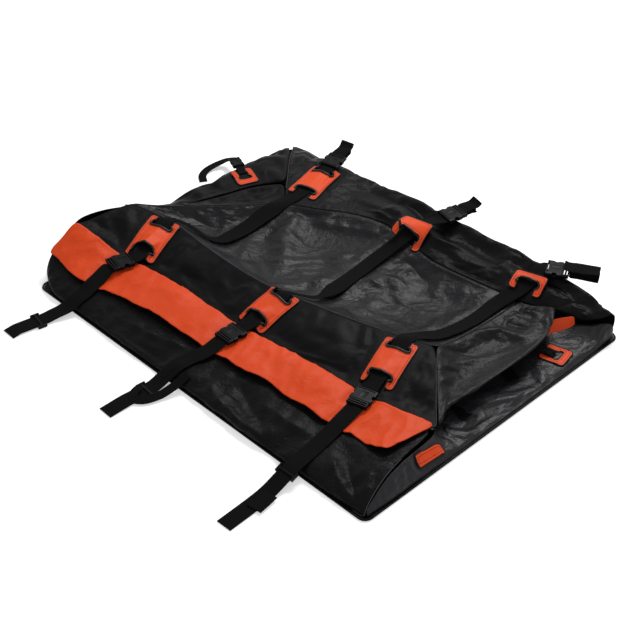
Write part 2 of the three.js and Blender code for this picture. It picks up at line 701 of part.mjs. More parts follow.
// Samples along a strap. A part is a smooth plan route that follows the ground, or a straight
// stretch with its own heights.
const edgeDrop = 8;
function strapSamples(parts) {
  const samples = [];
  for (const part of parts) {
    const points = part.plan ?? part.straight;
    const flat = points.map((point) => point.clone().setZ(0));
    const route = part.plan
      ? new THREE.CatmullRomCurve3(flat, false, "centripetal")
      : new THREE.LineCurve3(flat[0], flat[1]);
    const steps = Math.max(1, Math.round(route.getLength() / strapStep));
    for (let i = samples.length ? 1 : 0; i <= steps; i += 1) {
      const place = route.getPointAt(i / steps);
      const pinned = Boolean(part.straight);
      place.z = pinned
        ? THREE.MathUtils.lerp(points[0].z, points[1].z, i / steps)
        : groundHeight(place.x, place.y) + layGap;
      samples.push({ place, pinned });
    }
    if (part.straight && samples.length > steps + 1) {
      const joint = samples[samples.length - steps - 1];
      joint.pinned = true;
      joint.place.z = points[0].z;
    }
  }
  return samples;
}

function strapPiece(options) {
  const { parts, startLevel, endLevel, startWay, endWay, taut = 5, shifts = still,
    width = webbingWidth } = options;
  const samples = strapSamples(parts);
  const last = samples.length - 1;
  const pin = (sample, level) => {
    if (level === undefined) return;
    sample.place.z = level;
    sample.pinned = true;
  };
  pin(samples[0], startLevel);
  pin(samples[last], endLevel);
  for (let pass = 0; pass < taut; pass += 1) {
    for (let i = 1; i < last; i += 1) {
      if (samples[i].pinned) continue;
      const mean = (samples[i - 1].place.z + samples[i + 1].place.z) / 2;
      samples[i].place.z = Math.max(samples[i].place.z, mean);
    }
  }
  const grid = samples.map(({ place, pinned }, i) => {
    const before = samples[Math.max(i - 1, 0)].place;
    const after = samples[Math.min(i + 1, last)].place;
    let tangent = after.clone().sub(before).setZ(0).normalize();
    if (i === 0 && startWay) tangent = startWay;
    if (i === last && endWay) tangent = endWay;
    const side = new THREE.Vector3(tangent.y, -tangent.x, 0);
    const ground = groundHeight(place.x, place.y);
    return [-1, 0, 1].map((a) => {
      const point = place.clone().addScaledVector(side, (a * width) / 2);
      const drop = groundHeight(point.x, point.y) - ground;
      if (!pinned) point.z += THREE.MathUtils.clamp(drop, -edgeDrop, edgeDrop);
      return { point, normal: up, above: webbingThickness, below: 0, pinned };
    });
  });
  raiseClear(grid, layGap, shifts);
  return sheetSolid(grid, () => true, true);
}

// A webbing tail folded flat on itself and held, as it hangs off a buckle. The first turns lie
// by turns over and under the webbing's level, and those past them on top.
function foldedTail({ end, angle, size }, length, count) {
  const half = webbingThickness / 2;
  const across = size.webbing / 2;
  const level = (k) => {
    if (k >= foldCount) return (k - (foldCount - 1) / 2) * foldPitch;
    return (k % 2 === 0 ? Math.ceil(k / 2) : -Math.ceil(k / 2)) * foldPitch;
  };
  const levels = Array.from({ length: count }, (_, k) => level(k)).sort((a, b) => a - b);
  const first = levels.indexOf(0);
  const slabs = levels.map((height, k) => {
    const start = k === first ? 0 : webbingThickness;
    return block([start, -across, height - half], [length, across, height + half]);
  });
  levels.slice(1).forEach((height, k) => {
    const place = k % 2 === 0 ? length - webbingThickness : webbingThickness;
    slabs.push(block(
      [place, -across, levels[k] - half], [place + webbingThickness, across, height + half]));
  });
  const centre = end.clone();
  centre.z += half;
  return joined(slabs).applyMatrix4(strapFrame(centre, angle));
}

// A triglide: two rails beside the strap, two bars under it and one over it
function addTriglide(name, from, to, share) {
  const way = to.clone().sub(from).normalize();
  const side = new THREE.Vector3(-way.y, way.x, 0).normalize();
  const frame = new THREE.Matrix4().makeBasis(way, side, way.clone().cross(side));
  frame.setPosition(from.clone().lerp(to, share));
  const inner = webbingWidth / 2 + 1;
  const outer = inner + triglideRail;
  const low = -runningGap - triglidePlate;
  const top = webbingThickness + runningGap + triglidePlate;
  const rails = [-1, 1].map((place) => {
    const edges = [place * inner, place * outer].sort((a, b) => a - b);
    return block([0, edges[0], low], [triglideLength, edges[1], top]);
  });
  const bars = [0, triglideLength - triglideBar].map((start) =>
    block([start, -inner - 1, low], [start + triglideBar, inner + 1, -runningGap]));
  const middle = (triglideLength - triglideBar) / 2;
  const bridge = block(
    [middle, -inner - 1, webbingThickness + runningGap], [middle + triglideBar, inner + 1, top]);
  addPiece(`${name}_triglide`, joined([...rails, ...bars, bridge]).applyMatrix4(frame), plasticMaterial);
}

// A side patch: a tongue with a notch for the strap at its far end
function sidePatch(centre, heading) {
  const halfNotch = sideWebbingWidth / 2 + 3;
  const floor = sidePatchLength - sideNotchDepth;
  return laidPatch({
    centre,
    heading,
    across: [-sidePatchWidth / 2, -halfNotch, 0, halfNotch, sidePatchWidth / 2],
    along: [0, floor, (floor + sidePatchLength) / 2, sidePatchLength],
    keep: (a, b) => Math.abs(a) > halfNotch || b < floor,
    thick: () => patchThickness,
  });
}

const cornerTab = laidPatch({
  centre: onRight(-0.568, 28),
  heading: new THREE.Vector3(0.02, 1, 0),
  across: [-cornerTabWidth / 2, 0, cornerTabWidth / 2],
  along: [0, cornerTabLength / 4, cornerTabLength / 2, (3 * cornerTabLength) / 4, cornerTabLength],
  keep: () => true,
  thick: () => patchThickness,
});
addLaid("right_rear_patch", sidePatch(onRight(0.636, 24), new THREE.Vector3(-0.98, -0.19, 0)),
  orangeMaterial);
addLaid("right_front_patch", cornerTab, orangeMaterial);

// A sheet over plan places with wanted heights, raised where the ground needs it
function laidSheet({ surface, columns, rows, thick }) {
  const grid = [];
  for (let i = 0; i <= columns; i += 1) {
    grid.push([]);
    for (let j = 0; j <= rows; j += 1) {
      const point = surface(i / columns, j / rows);
      point.z = Math.max(point.z, groundHeight(point.x, point.y) + layGap);
      grid[i].push({ point, normal: up, above: thick, below: 0 });
    }
  }
  raiseClear(grid, layGap, still);
  return sheetSolid(grid, () => true, false);
}

// Storm flap round the right side: it stands up out of the hollow by the back corner
const rearFlap = surfaceThrough([
  line(onRight, [[0.6, 152, 13], [0.71, 132, 20], [0.78, 112, 26], [0.8575, 96, 34]]),
  line(onRight, [[0.6, 158, 20], [0.712, 142, 34], [0.784, 120, 42], [0.8615, 100, 46]]),
  line(onRight, [[0.6, 166, 27], [0.714, 152, 46], [0.788, 130, 56], [0.8655, 106, 57]]),
].reverse());
addLaid("storm_flap_right", clothPanel(rearFlap, 8, 3), orangeMaterial);

const rightRearEnd = addBuckle("right_rear", onRight(0.586, 118), 191, sideBuckle);
settleBuckle("right_rear");
addLaid("right_rear_tether", strapPiece({
  parts: [{ plan: [onRight(0.612, 62), onRight(0.599, 90), onRight(0.586, 118 - layGap)] }],
  endLevel: rightRearEnd.middle, endWay: headingOf(rightRearEnd.angle), taut: 2, width: sideWebbingWidth,
}), webbingMaterial);
addLaid("right_rear_tail", foldedTail(rightRearEnd, sideFoldLength, sideFoldCount), webbingMaterial);

// Right upper wall: out from the top panel to a ridge, then folded back under itself
const rightRidgeRows = [
  [[-0.072, 190, 80], [0.124, 198, 62], [0.3, 198, 55], [0.49, 198, 54], [0.644, 204, 58],
    [0.748, 222, 62]],
  [[-0.216, 122, 71], [0.02, 138, 60], [0.24, 140, 60], [0.48, 138, 61], [0.67, 150, 66],
    [0.78, 188, 68]],
  [[-0.328, 66, 66], [-0.14, 88, 69], [0.15, 86, 74], [0.47, 87, 76], [0.68, 107, 77], [0.808, 148, 76]],
  [[-0.316, 70, 56], [-0.132, 98, 57], [0.154, 98, 60], [0.47, 99, 61], [0.672, 118, 62],
    [0.788, 150, 62]],
  [[-0.276, 90, 50], [-0.1, 180, 42], [0.18, 210, 38], [0.48, 210, 38], [0.644, 204, 42],
    [0.744, 176, 50]],
].map((row) => resampled(line(onRight, row)));
addLaid("right_upper_wall",
  clothPanel(surfaceThrough([sideSeam(1), ...rightRidgeRows].reverse()), topSteps, 11), wallMaterial);

// The zip: a band of teeth between the hems, and two sliders with their pull tabs
const zipBand = [
  { across: 0.9, above: 0.8 }, { across: zipWidth * 0.3, above: zipTeeth },
  { across: zipWidth * 0.7, above: zipTeeth }, { across: zipWidth - 0.9, above: 0.8 },
];
const zipCurve = new THREE.CatmullRomCurve3(frontZip, false, "centripetal");
const zipGrid = [];
for (let i = 0; i <= zipSteps; i += 1) {
  const place = zipCurve.getPoint(THREE.MathUtils.lerp(0.004, 0.994, i / zipSteps));
  zipGrid.push(zipBand.map(({ across, above }) => ({
    point: place.clone().add(new THREE.Vector3(0, across, across / zipWidth)),
    normal: up,
    above,
    below: 0.8,
  })));
}
addLaid("zip_chain", sheetSolid(zipGrid, () => true, false), plasticMaterial);

// A slider: a plate over the teeth, a bridge on it and a pull tab lying to the front
function sliderGeometry() {
  const half = sliderWidth / 2;
  const plate = block([-sliderLength / 2, -half, 0], [sliderLength / 2, half, sliderWall]);
  const bridge = block([-sliderLength / 4, -2, sliderWall - 0.2], [sliderLength / 4, 2, 2 * sliderWall]);
  const tab = block([-tabWidth / 2, -half - tabLength, 0.3], [tabWidth / 2, -half + 1, sliderWall - 0.3]);
  return joined([plate, bridge, tab]);
}

function addSlider(name, from, to) {
  const way = to.clone().sub(from).normalize();
  const lengthways = way.clone().multiplyScalar(Math.sign(way.x));
  const side = new THREE.Vector3(-lengthways.y, lengthways.x, 0).normalize();
  const frameAt = (travelled, rise) => {
    const frame = new THREE.Matrix4().makeBasis(lengthways, side, lengthways.clone().cross(side));
    const place = from.clone().addScaledVector(way, travelled);
    place.z += rise;
    return frame.setPosition(place);
  };
  let rise = 0;
  for (let travelled = -sliderLength / 2; travelled <= sliderTravel + sliderLength / 2; travelled += 3) {
    for (let across = -tabLength - sliderWidth / 2; across <= sliderWidth / 2; across += 3) {
      const place = from.clone().addScaledVector(way, travelled).addScaledVector(side, across);
      rise = Math.max(rise, groundHeight(place.x, place.y) + runningGap - place.z);
    }
  }
  addPiece(name, sliderGeometry().applyMatrix4(frameAt(0, rise)), plasticMaterial);
  for (let travelled = 0; travelled <= sliderTravel; travelled += 10) {
    layDown(sliderGeometry().applyMatrix4(frameAt(travelled, rise)));
  }
}
const onZip = (share, reach, height) => onFront(share, reach + zipWidth / 2, height);
addSlider("slider_left", onZip(-0.5077, 212.5, 56), onZip(-0.3231, 217, 55));
addSlider("slider_right", onZip(0.4615, 258, 55), onZip(0.2769, 249.5, 54.5));

// Storm flap over the front zip: sewn above it, hanging over the lower wall with a wavy edge
const flapSewn = shifted(frontZip, 0, zipWidth + 9, 4);
flapSewn[0].y -= 4;
const flapEdge = line(onFront, [
  [-1.06, 64, 62], [-0.94, 62, 52], [-0.8, 68, 46], [-0.572, 102, 45], [-0.137, 120, 44],
  [0.175, 136, 44], [0.508, 149, 45], [0.74, 157, 47], [0.87, 170, 50]]);
const flapWave = (u) => flapRipple * (1 + Math.sin(u * 34) * 0.6 + Math.sin(u * 13 + 1) * 0.4);
const flapSurface = surfaceThrough([flapEdge, between(flapEdge, flapSewn, 0.5, 2), flapSewn]);
addLaid("storm_flap", laidSheet({
  surface: (u, v) => {
    const place = flapSurface(THREE.MathUtils.lerp(0.006, 0.99, u), v);
    place.z = Math.max(place.z, groundHeight(place.x, place.y)) + (1 - v) * flapWave(u);
    return place;
  },
  columns: 28, rows: 4, thick: patchThickness,
}), orangeMaterial);

// Buckles at both ends of the three straps that cross the bag. Those at the back stand over the
// far edges of their patches.
const overPatch = patchThickness + layGap;
for (const { name, place, angle, allowance } of [
  { name: "front_left", place: onFront(-0.76, 208), angle: -102.7 },
  { name: "front_middle", place: onFront(-0.08, 228), angle: -91.7 },
  { name: "front_right", place: onFront(0.5723, 294), angle: -74.3 },
  { name: "back_left", place: onBack(-0.6738, 49), angle: 105 },
  { name: "back_middle", place: onBack(0.04, 32), angle: 78, allowance: overPatch },
  { name: "back_right", place: onBack(0.612, 12), angle: 30, allowance: overPatch },
]) addBuckle(name, place, angle, mainBuckle, allowance);

// The end of a route at a buckle's socket, and a place a little before it
const reaching = (name) => {
  const { start, angle } = buckleAt[name];
  return [reachStart, layGap].map((back) => start.clone().addScaledVector(headingOf(angle), -back));
};
const reachStart = 12;
const crossRoutes = {
  left: [
    ...line(onFront, [[-0.7538, 232], [-0.7877, 310], [-0.8246, 388], [-0.8123, 418], [-0.7538, 438],
      [-0.6769, 446], [-0.6277, 470], [-0.6185, 520], [-0.6215, 640]]),
    ...line(onBack, [[-0.62, 203], [-0.6338, 150]]),
  ],
  middle: [
    ...line(onFront, [[-0.0769, 260], [-0.0769, 410], [-0.0462, 450], [-0.0154, 480], [-0.0215, 560],
      [-0.0308, 607], [-0.0462, 742]]),
    ...line(onBack, [[-0.03, 160], [-0.012, 110], [0.014, 70]]),
  ],
  right: [
    ...line(onFront, [[0.5569, 325], [0.52, 410], [0.4831, 505], [0.4892, 540], [0.5308, 595],
      [0.5569, 705], [0.56, 814]]),
    ...line(onBack, [[0.582, 118], [0.592, 80], [0.594, 56]]),
  ],
};
for (const [name, route] of Object.entries(crossRoutes)) {
  const front = buckleAt[`front_${name}`];
  const back = buckleAt[`back_${name}`];
  addLaid(`cross_strap_${name}`, strapPiece({
    parts: [{ plan: [...reaching(`front_${name}`).reverse(), ...route, ...reaching(`back_${name}`)] }],
    startLevel: front.middle, endLevel: back.middle,
    startWay: headingOf(front.angle + 180), endWay: headingOf(back.angle),
  }), webbingMaterial);
}

// Patches with a keyhole, where the strap passes through a moulded slot frame: one at both ends,
// or at the near end alone where the far end lies over the crest
const slotEnd = neckDepth + slotDepth;
const slotRim = 1;
const patchHalves = [neckWidth / 2, slotWidth / 2, patchWidth / 2];
const patchAcross = [...patchHalves.map((half) => -half).reverse(), 0, ...patchHalves];
function keyholePatch(centre, heading, length, holes) {
  const along = holes === 1
    ? [0, neckDepth, slotEnd, (slotEnd + length) / 2, length]
    : [0, neckDepth, slotEnd, length / 2, length - slotEnd, length - neckDepth, length];
  const fromEnd = (b) => (holes === 1 ? b : Math.min(b, length - b));
  const inNeck = (a, b) => Math.abs(a) < neckWidth / 2 && fromEnd(b) < neckDepth;
  const inSlot = (a, b) => Math.abs(a) < slotWidth / 2 && fromEnd(b) > neckDepth && fromEnd(b) < slotEnd;
  const atFrame = (a, b) => Math.abs(a) < slotWidth / 2 + slotRim
    && fromEnd(b) > neckDepth - slotRim && fromEnd(b) < slotEnd + slotRim;
  return laidPatch({
    centre, heading: new THREE.Vector3(...heading, 0), across: patchAcross, along,
    keep: (a, b) => !inNeck(a, b) && !inSlot(a, b),
    thick: (a, b) => (atFrame(a, b) ? slotFrame : patchThickness),
  });
}
for (const { name, centre, heading, cut = 0, holes = 2 } of [
  { name: "front_left", centre: onFront(-0.7538, 231), heading: [-0.29, 0.95], cut: 8 },
  { name: "front_middle", centre: onFront(-0.0769, 260), heading: [0, 1], cut: 16 },
  { name: "front_right", centre: onFront(0.5631, 327), heading: [-0.3, 0.95] },
  { name: "back_left", centre: onBack(-0.6015, 213), heading: [-0.26, 0.97], cut: 6 },
  { name: "back_middle", centre: onBack(-0.006, 173), heading: [-0.1, 0.995], cut: 80, holes: 1 },
  { name: "back_right", centre: onBack(0.611, 112), heading: [-0.24, 0.97], cut: 104, holes: 1 },
]) addLaid(`patch_${name}`, keyholePatch(centre, heading, patchLength - cut, holes), orangeMaterial);
Object.keys(buckleAt).filter((name) => name !== "right_rear").forEach(settleBuckle);

// Places in front of the base, from the share along its front edge and the reach out over the floor
const beforeFront = (share, reach, height) => onFront(share, -reach, height);

// Front tails: over the flap and the wall, then out over the floor
const frontTails = [
  {
    name: "front_left", rail: 0.12,
    wall: [
      ...line(onFront, [[-0.7754, 100], [-0.7692, 30]]),
      ...line(beforeFront, [[-0.7815, 20], [-0.8, 56]]),
    ],
    flat: line(beforeFront, [[-0.8077, 78, 3.6], [-0.8369, 166, 3.6]]),
    floor: line(beforeFront, [[-0.8385, 195]]),
  },
  {
    name: "front_middle", rail: 0.12,
    wall: [
      ...line(onFront, [[-0.0923, 115], [-0.12, 70], [-0.1354, 10]]),
      ...line(beforeFront, [[-0.1415, 22]]),
    ],
    flat: line(beforeFront, [[-0.1446, 48, 3.6], [-0.1585, 140, 3.6]]),
    floor: line(beforeFront, [[-0.1631, 207]]),
  },
  {
    name: "front_right", rail: 0.1,
    wall: line(onFront, [[0.6092, 158], [0.6185, 79], [0.6231, 30]]),
    flat: line(beforeFront, [[0.6262, 13, 32], [0.6308, 100, 4.6]]),
    floor: line(beforeFront, [[0.6338, 140], [0.6385, 257]]),
  },
];
for (const { name, wall, flat, floor, rail } of frontTails) {
  const { end, angle, size } = buckleAt[name];
  const way = headingOf(angle).multiplyScalar(travelOf(size));
  addLaid(`${name}_tail`, strapPiece({
    parts: [{ plan: [end, ...wall, flat[0]] }, { straight: flat }, { plan: [flat[1], ...floor] }],
    startLevel: end.z, startWay: headingOf(angle), taut: 2,
    shifts: [0, 0.5, 1].map((share) => [share * way.x, share * way.y]),
  }), webbingMaterial);
  addTriglide(name, ...flat, rail);
}

// Back tails, folded and hanging on behind their buckles
for (const [name, length, count] of [["back_left", 44, foldCount], ["back_middle", 40, foldCount],
  ["back_right", 84, bundleCount]]) {
  addLaid(`${name}_tail`, foldedTail(buckleAt[name], length, count), webbingMaterial);
}

// Left rear strap end. Its tail falls over the rim and lies in a loop on the floor.
addLaid("left_rear_patch", sidePatch(onLeft(0.46, 94), new THREE.Vector3(-0.94, 0.34, 0)),
  orangeMaterial);
const leftRearEnd = addBuckle("left_rear", onLeft(0.53, 8), 158, sideBuckle);
settleBuckle("left_rear");
addLaid("left_rear_tether", strapPiece({
  parts: [{ plan: [onLeft(0.498, 44), onLeft(0.514, 26), onLeft(0.529, 8 + layGap)] }],
  endLevel: leftRearEnd.middle, endWay: headingOf(leftRearEnd.angle), taut: 1, width: sideWebbingWidth,
}), webbingMaterial);
const beforeLeft = (share, reach) => onLeft(share, -reach);
const leftWay = headingOf(leftRearEnd.angle).multiplyScalar(travelOf(sideBuckle));
addLaid("left_rear_tail", strapPiece({
  parts: [{ plan: [leftRearEnd.end, ...line(beforeLeft, [[0.59, 56], [0.58, 80], [0.53, 96], [0.462, 102],
    [0.4, 92], [0.362, 66]])] }],
  startLevel: leftRearEnd.end.z, startWay: headingOf(leftRearEnd.angle), taut: 2, width: sideWebbingWidth,
  shifts: [0, 0.5, 1].map((share) => [share * leftWay.x, share * leftWay.y]),
}), webbingMaterial);

export default group;
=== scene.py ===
# %% [markdown]
# # A collapsed roof cargo bag
# The bag is empty and zipped shut, and it lies on its base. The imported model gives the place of
# every panel, strap and buckle, and this lesson dresses it: cloth with folds, woven webbing,
# moulded buckles and stitched patches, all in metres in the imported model's own frame.

# %% Load the frame
import math
import bpy
import bmesh
import numpy as np
from mathutils import Matrix, Vector, kdtree, noise
from mathutils.bvhtree import BVHTree


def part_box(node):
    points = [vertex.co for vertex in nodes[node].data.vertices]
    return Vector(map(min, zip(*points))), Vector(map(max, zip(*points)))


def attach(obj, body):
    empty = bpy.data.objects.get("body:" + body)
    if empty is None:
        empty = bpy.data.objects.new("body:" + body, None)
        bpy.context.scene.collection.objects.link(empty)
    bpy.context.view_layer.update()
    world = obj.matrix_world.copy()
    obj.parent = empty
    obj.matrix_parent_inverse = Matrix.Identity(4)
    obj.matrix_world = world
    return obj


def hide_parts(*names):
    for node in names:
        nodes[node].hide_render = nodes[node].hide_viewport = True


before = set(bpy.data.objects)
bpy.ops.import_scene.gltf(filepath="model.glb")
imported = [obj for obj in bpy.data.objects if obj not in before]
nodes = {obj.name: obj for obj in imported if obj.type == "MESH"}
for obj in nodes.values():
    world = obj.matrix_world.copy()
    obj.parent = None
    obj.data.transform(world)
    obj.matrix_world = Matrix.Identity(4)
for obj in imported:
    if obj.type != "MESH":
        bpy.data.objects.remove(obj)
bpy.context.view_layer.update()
print(len(nodes), "nodes in the frame")

# %% [markdown]
# The camera stands where the photograph's camera stood. Its direction and distance come from the
# corners of the base, and the lens from how much the far side shrinks.

# %% Camera
AZIMUTH, ELEVATION = math.radians(45.42), math.radians(39.73)
DISTANCE = 4.78
AIM = Vector((0.017, -0.032, 0.0))
LENS = 1700 / 640 * 36


def set_camera():
    back = Vector((math.sin(AZIMUTH) * math.cos(ELEVATION),
                   -math.cos(AZIMUTH) * math.cos(ELEVATION), math.sin(ELEVATION)))
    data = bpy.data.cameras.new("camera")
    data.lens = LENS
    data.sensor_width = 36
    camera = bpy.data.objects.new("camera", data)
    camera.location = AIM + back * DISTANCE
    camera.rotation_euler = (-back).to_track_quat("-Z", "Y").to_euler()
    bpy.context.scene.collection.objects.link(camera)
    bpy.context.scene.camera = camera
    print("camera at", [round(x, 3) for x in camera.location])


set_camera()
bpy.context.scene.view_settings.view_transform = "Standard"

# %% [markdown]
# Shader maths reads best as maths. This small class wraps a socket, so that an expression such as
# 1 - mask * 0.4 adds its Math nodes by itself, and one method adds any other node.

# %% Shader maths
class Wire:
    """A node socket that takes part in Python expressions."""

    def __init__(self, finish, socket):
        self.finish = finish
        self.socket = socket

    def maths(self, operation, first, second=None):
        values = [v for v in (first, second) if v is not None]
        return self.finish.add("ShaderNodeMath", {"operation": operation}, dict(enumerate(values)))

    def __add__(self, other):
        return self.maths("ADD", self, other)

    def __radd__(self, other):
        return self.maths("ADD", other, self)

    def __sub__(self, other):
        return self.maths("SUBTRACT", self, other)

    def __rsub__(self, other):
        return self.maths("SUBTRACT", other, self)

    def __mul__(self, other):
        return self.maths("MULTIPLY", self, other)

    def __rmul__(self, other):
        return self.maths("MULTIPLY", other, self)

    def __pow__(self, other):
        return self.maths("POWER", self, other)

    def sine(self):
        return self.maths("SINE", self)

    def size(self):
        return self.maths("ABSOLUTE", self)


class Finish:
    """A material, or the world, under construction."""

    def __init__(self, name, kind="materials"):
        self.material = getattr(bpy.data, kind).new(name)
        self.material.use_nodes = True
        self.tree = self.material.node_tree
        self.surface = self.tree.nodes.get("Principled BSDF")

    def put(self, socket, value):
        if isinstance(value, Wire):
            self.tree.links.new(value.socket, socket)
        else:
            socket.default_value = value

    def add(self, kind, settings=None, inputs=None, output=0):
        node = self.tree.nodes.new(kind)
        for name, value in (settings or {}).items():
            if name == "stops":
                ramp = node.color_ramp
                for place, grey in value:
                    stop = ramp.elements.new(place)
                    stop.color = (grey, grey, grey, 1)
                ramp.elements.remove(ramp.elements[0])
                ramp.elements.remove(ramp.elements[-1])
            else:
                setattr(node, name, value)
        for name, value in (inputs or {}).items():
            self.put(node.inputs[name], value)
        return Wire(self, node.outputs[output])

    def place(self):
        return self.add("ShaderNodeTexCoord", output="Object")

    def noise(self, scale, detail=4.0, roughness=0.55, where=None, distortion=0.0):
        return self.add("ShaderNodeTexNoise", {}, {
            "Vector": where or self.place(), "Scale": scale, "Detail": detail,
            "Roughness": roughness, "Distortion": distortion})

    def seen_directly(self):
        """1 for rays of the camera, of mirrors and of clear things, and 0 for the rest."""
        rays = [self.add("ShaderNodeLightPath", output=f"Is {kind} Ray")
                for kind in ("Camera", "Glossy", "Transmission")]
        both = self.maximum(rays[0], rays[1])
        return self.maximum(both, rays[2])

    def maximum(self, first, second):
        return self.add("ShaderNodeMath", {"operation": "MAXIMUM"}, {0: first, 1: second})

    def blend(self, share, first, second):
        return self.add("ShaderNodeMix", {"data_type": "RGBA"}, {
            "Factor": share, 6: (*first, 1) if not isinstance(first, Wire) else first,
            7: (*second, 1) if not isinstance(second, Wire) else second}, output=2)

    def surface_set(self, **values):
        for name, value in values.items():
            self.put(self.surface.inputs[name.replace("_", " ")], value)

    def bump(self, *layers):
        normal = None
        for height, distance in layers:
            inputs = {"Height": height, "Distance": distance, "Strength": 1.0}
            if normal is not None:
                inputs["Normal"] = normal
            normal = self.add("ShaderNodeBump", {}, inputs)
        self.put(self.surface.inputs["Normal"], normal)


# %% [markdown]
# The shell is a coated polyester. It is nearly black, and what the eye reads is its sheen: a satin coat that
# brightens on the folds. The top panel has the same cloth in a shinier coat. The right walls get copies of
# the wall cloth with a lighter base colour: painted light where the light falls on that side.
# Small creases are bumps, and the large folds are in the mesh. The base colour is a random cloudy tone, made
# lighter where the fine crease bumps rise: a painted highlight on their ridges.

# %% Coated cloth
def coated_cloth(name, dark, light, roughness, crease, specular):
    finish = Finish(name)
    cloudy = finish.noise(3.1, detail=5.0)
    fine = finish.noise(38.0, detail=6.0, roughness=0.6)
    creases = (finish.noise(13.0, detail=3.0, distortion=0.9) - 0.5).size()
    along = finish.add("ShaderNodeVectorRotate", {"rotation_type": "Z_AXIS"}, {
        "Vector": finish.place(), "Angle": math.radians(-50)})
    along = finish.add("ShaderNodeVectorMath", {"operation": "MULTIPLY"}, {0: along, 1: (0.3, 1.0, 1.0)})
    pulled = (finish.noise(24.0, detail=4.0, roughness=0.6, where=along, distortion=0.5) - 0.5).size()
    weave = finish.noise(900.0, detail=1.0)
    # Random cloudy tone, plus a painted highlight: the colour is lighter where the fine crease bumps rise.
    colour = finish.blend(cloudy * 0.7 + fine * 0.3, dark, light)
    finish.surface_set(Base_Color=colour, Roughness=roughness - 0.1 + cloudy * 0.2,
                       Specular_IOR_Level=specular)
    finish.bump((creases, crease), (pulled, crease * 0.8), (fine, crease * 0.5), (weave, 0.0002))
    return finish.material


def grey(level, blue):
    return (level, level, blue)


wall_cloth = coated_cloth("wall_cloth", grey(0.0025, 0.003), grey(0.0046, 0.0054), 0.36, 0.0045, 0.05)
top_cloth = coated_cloth("top_cloth", grey(0.0045, 0.0055), grey(0.0075, 0.009), 0.33, 0.005, 0.12)
# The two right-wall cloths below have a lighter base colour than the wall cloth: painted light on that side.
painted_lit_side_cloth = coated_cloth("painted_lit_side_cloth", grey(0.0038, 0.0046), grey(0.0065, 0.0078), 0.34, 0.005, 0.09)
plain_cloth = coated_cloth("plain_cloth", grey(0.0025, 0.003), grey(0.0042, 0.005), 0.42, 0.0017, 0.04)
painted_lit_low_side_cloth = coated_cloth("painted_lit_low_side_cloth", grey(0.007, 0.0085), grey(0.011, 0.013), 0.38, 0.005, 0.19)
orange_cloth = coated_cloth("orange_cloth", (0.58, 0.046, 0.008), (0.71, 0.075, 0.015), 0.48, 0.003, 0.12)

# %% [markdown]
# Webbing is woven in ribs across its length. The pattern follows the strap, so it reads the
# strap's own map: the first number runs across and the second along, both in metres.

# %% Webbing, plastic and the seams' painted highlight
def webbing_finish():
    finish = Finish("black_webbing")
    route = finish.add("ShaderNodeUVMap", {"uv_map": "route"})
    split = finish.add("ShaderNodeSeparateXYZ", {}, {"Vector": route})
    across = Wire(finish, split.socket.node.outputs[0])
    along = Wire(finish, split.socket.node.outputs[1])
    ribs = (along * 2400.0).sine() * 0.5 + 0.5
    cords = (across * 1500.0 + along * 1200.0).sine() * 0.5 + 0.5
    dust = finish.noise(60.0, detail=4.0)
    finish.surface_set(Base_Color=finish.blend(dust, (0.002, 0.002, 0.0024), (0.0045, 0.0045, 0.005)),
                       Roughness=0.75 + dust * 0.15, Specular_IOR_Level=0.05)
    finish.bump((ribs * 0.6 + cords * 0.4, 0.0006))
    return finish.material


def moulded(name, colour, roughness, specular):
    finish = Finish(name)
    grain = finish.noise(700.0, detail=2.0)
    wear = finish.noise(45.0, detail=5.0)
    worn = tuple(min(1.0, c * 1.9 + 0.002) for c in colour)
    finish.surface_set(Base_Color=finish.blend(wear ** 2.0, colour, worn), Roughness=roughness + wear * 0.12,
                       Specular_IOR_Level=specular)
    finish.bump((grain, 0.00008))
    return finish.material


webbing = webbing_finish()
buckle_plastic = moulded("buckle_plastic", (0.0022, 0.0023, 0.0028), 0.32, 0.07)
frame_plastic = moulded("slot_frame_plastic", (0.0025, 0.0025, 0.003), 0.25, 0.2)
zip_plastic = moulded("zip_plastic", (0.004, 0.004, 0.0045), 0.4, 0.15)
# The seam ridges' lighter grey is a painted highlight along them.
seam_painted_highlight = moulded("seam_painted_highlight", (0.03, 0.03, 0.033), 0.6, 0.2)
print("materials:", [m.name for m in bpy.data.materials][-9:])

# %% [markdown]
# A few helpers: one makes a piece active with nothing else selected, and one adds a modifier and turns it
# into the mesh itself, as the apply button does.

# %% Piece helpers
scene = bpy.context.scene


def activate(piece):
    if bpy.context.object and bpy.context.object.mode != "OBJECT":
        bpy.ops.object.mode_set(mode="OBJECT")
    bpy.ops.object.select_all(action="DESELECT")
    piece.select_set(True)
    bpy.context.view_layer.objects.active = piece


def modify(piece, kind, **settings):
    activate(piece)
    modifier = piece.modifiers.new(kind.lower(), kind)
    for name, value in settings.items():
        setattr(modifier, name, value)
    bpy.ops.object.modifier_apply(modifier=modifier.name)


def cover(mesh, material):
    mesh.materials.clear()
    mesh.materials.append(material)


def new_piece(name, mesh, material):
    piece = bpy.data.objects.new(name, mesh)
    scene.collection.objects.link(piece)
    cover(mesh, material)
    return piece


def edit_merged(piece):
    """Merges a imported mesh's points and stays in edit mode, so that its order holds."""
    activate(piece)
    bpy.ops.object.mode_set(mode="EDIT")
    bpy.ops.mesh.select_all(action="SELECT")
    bpy.ops.mesh.remove_doubles(threshold=0.00002)


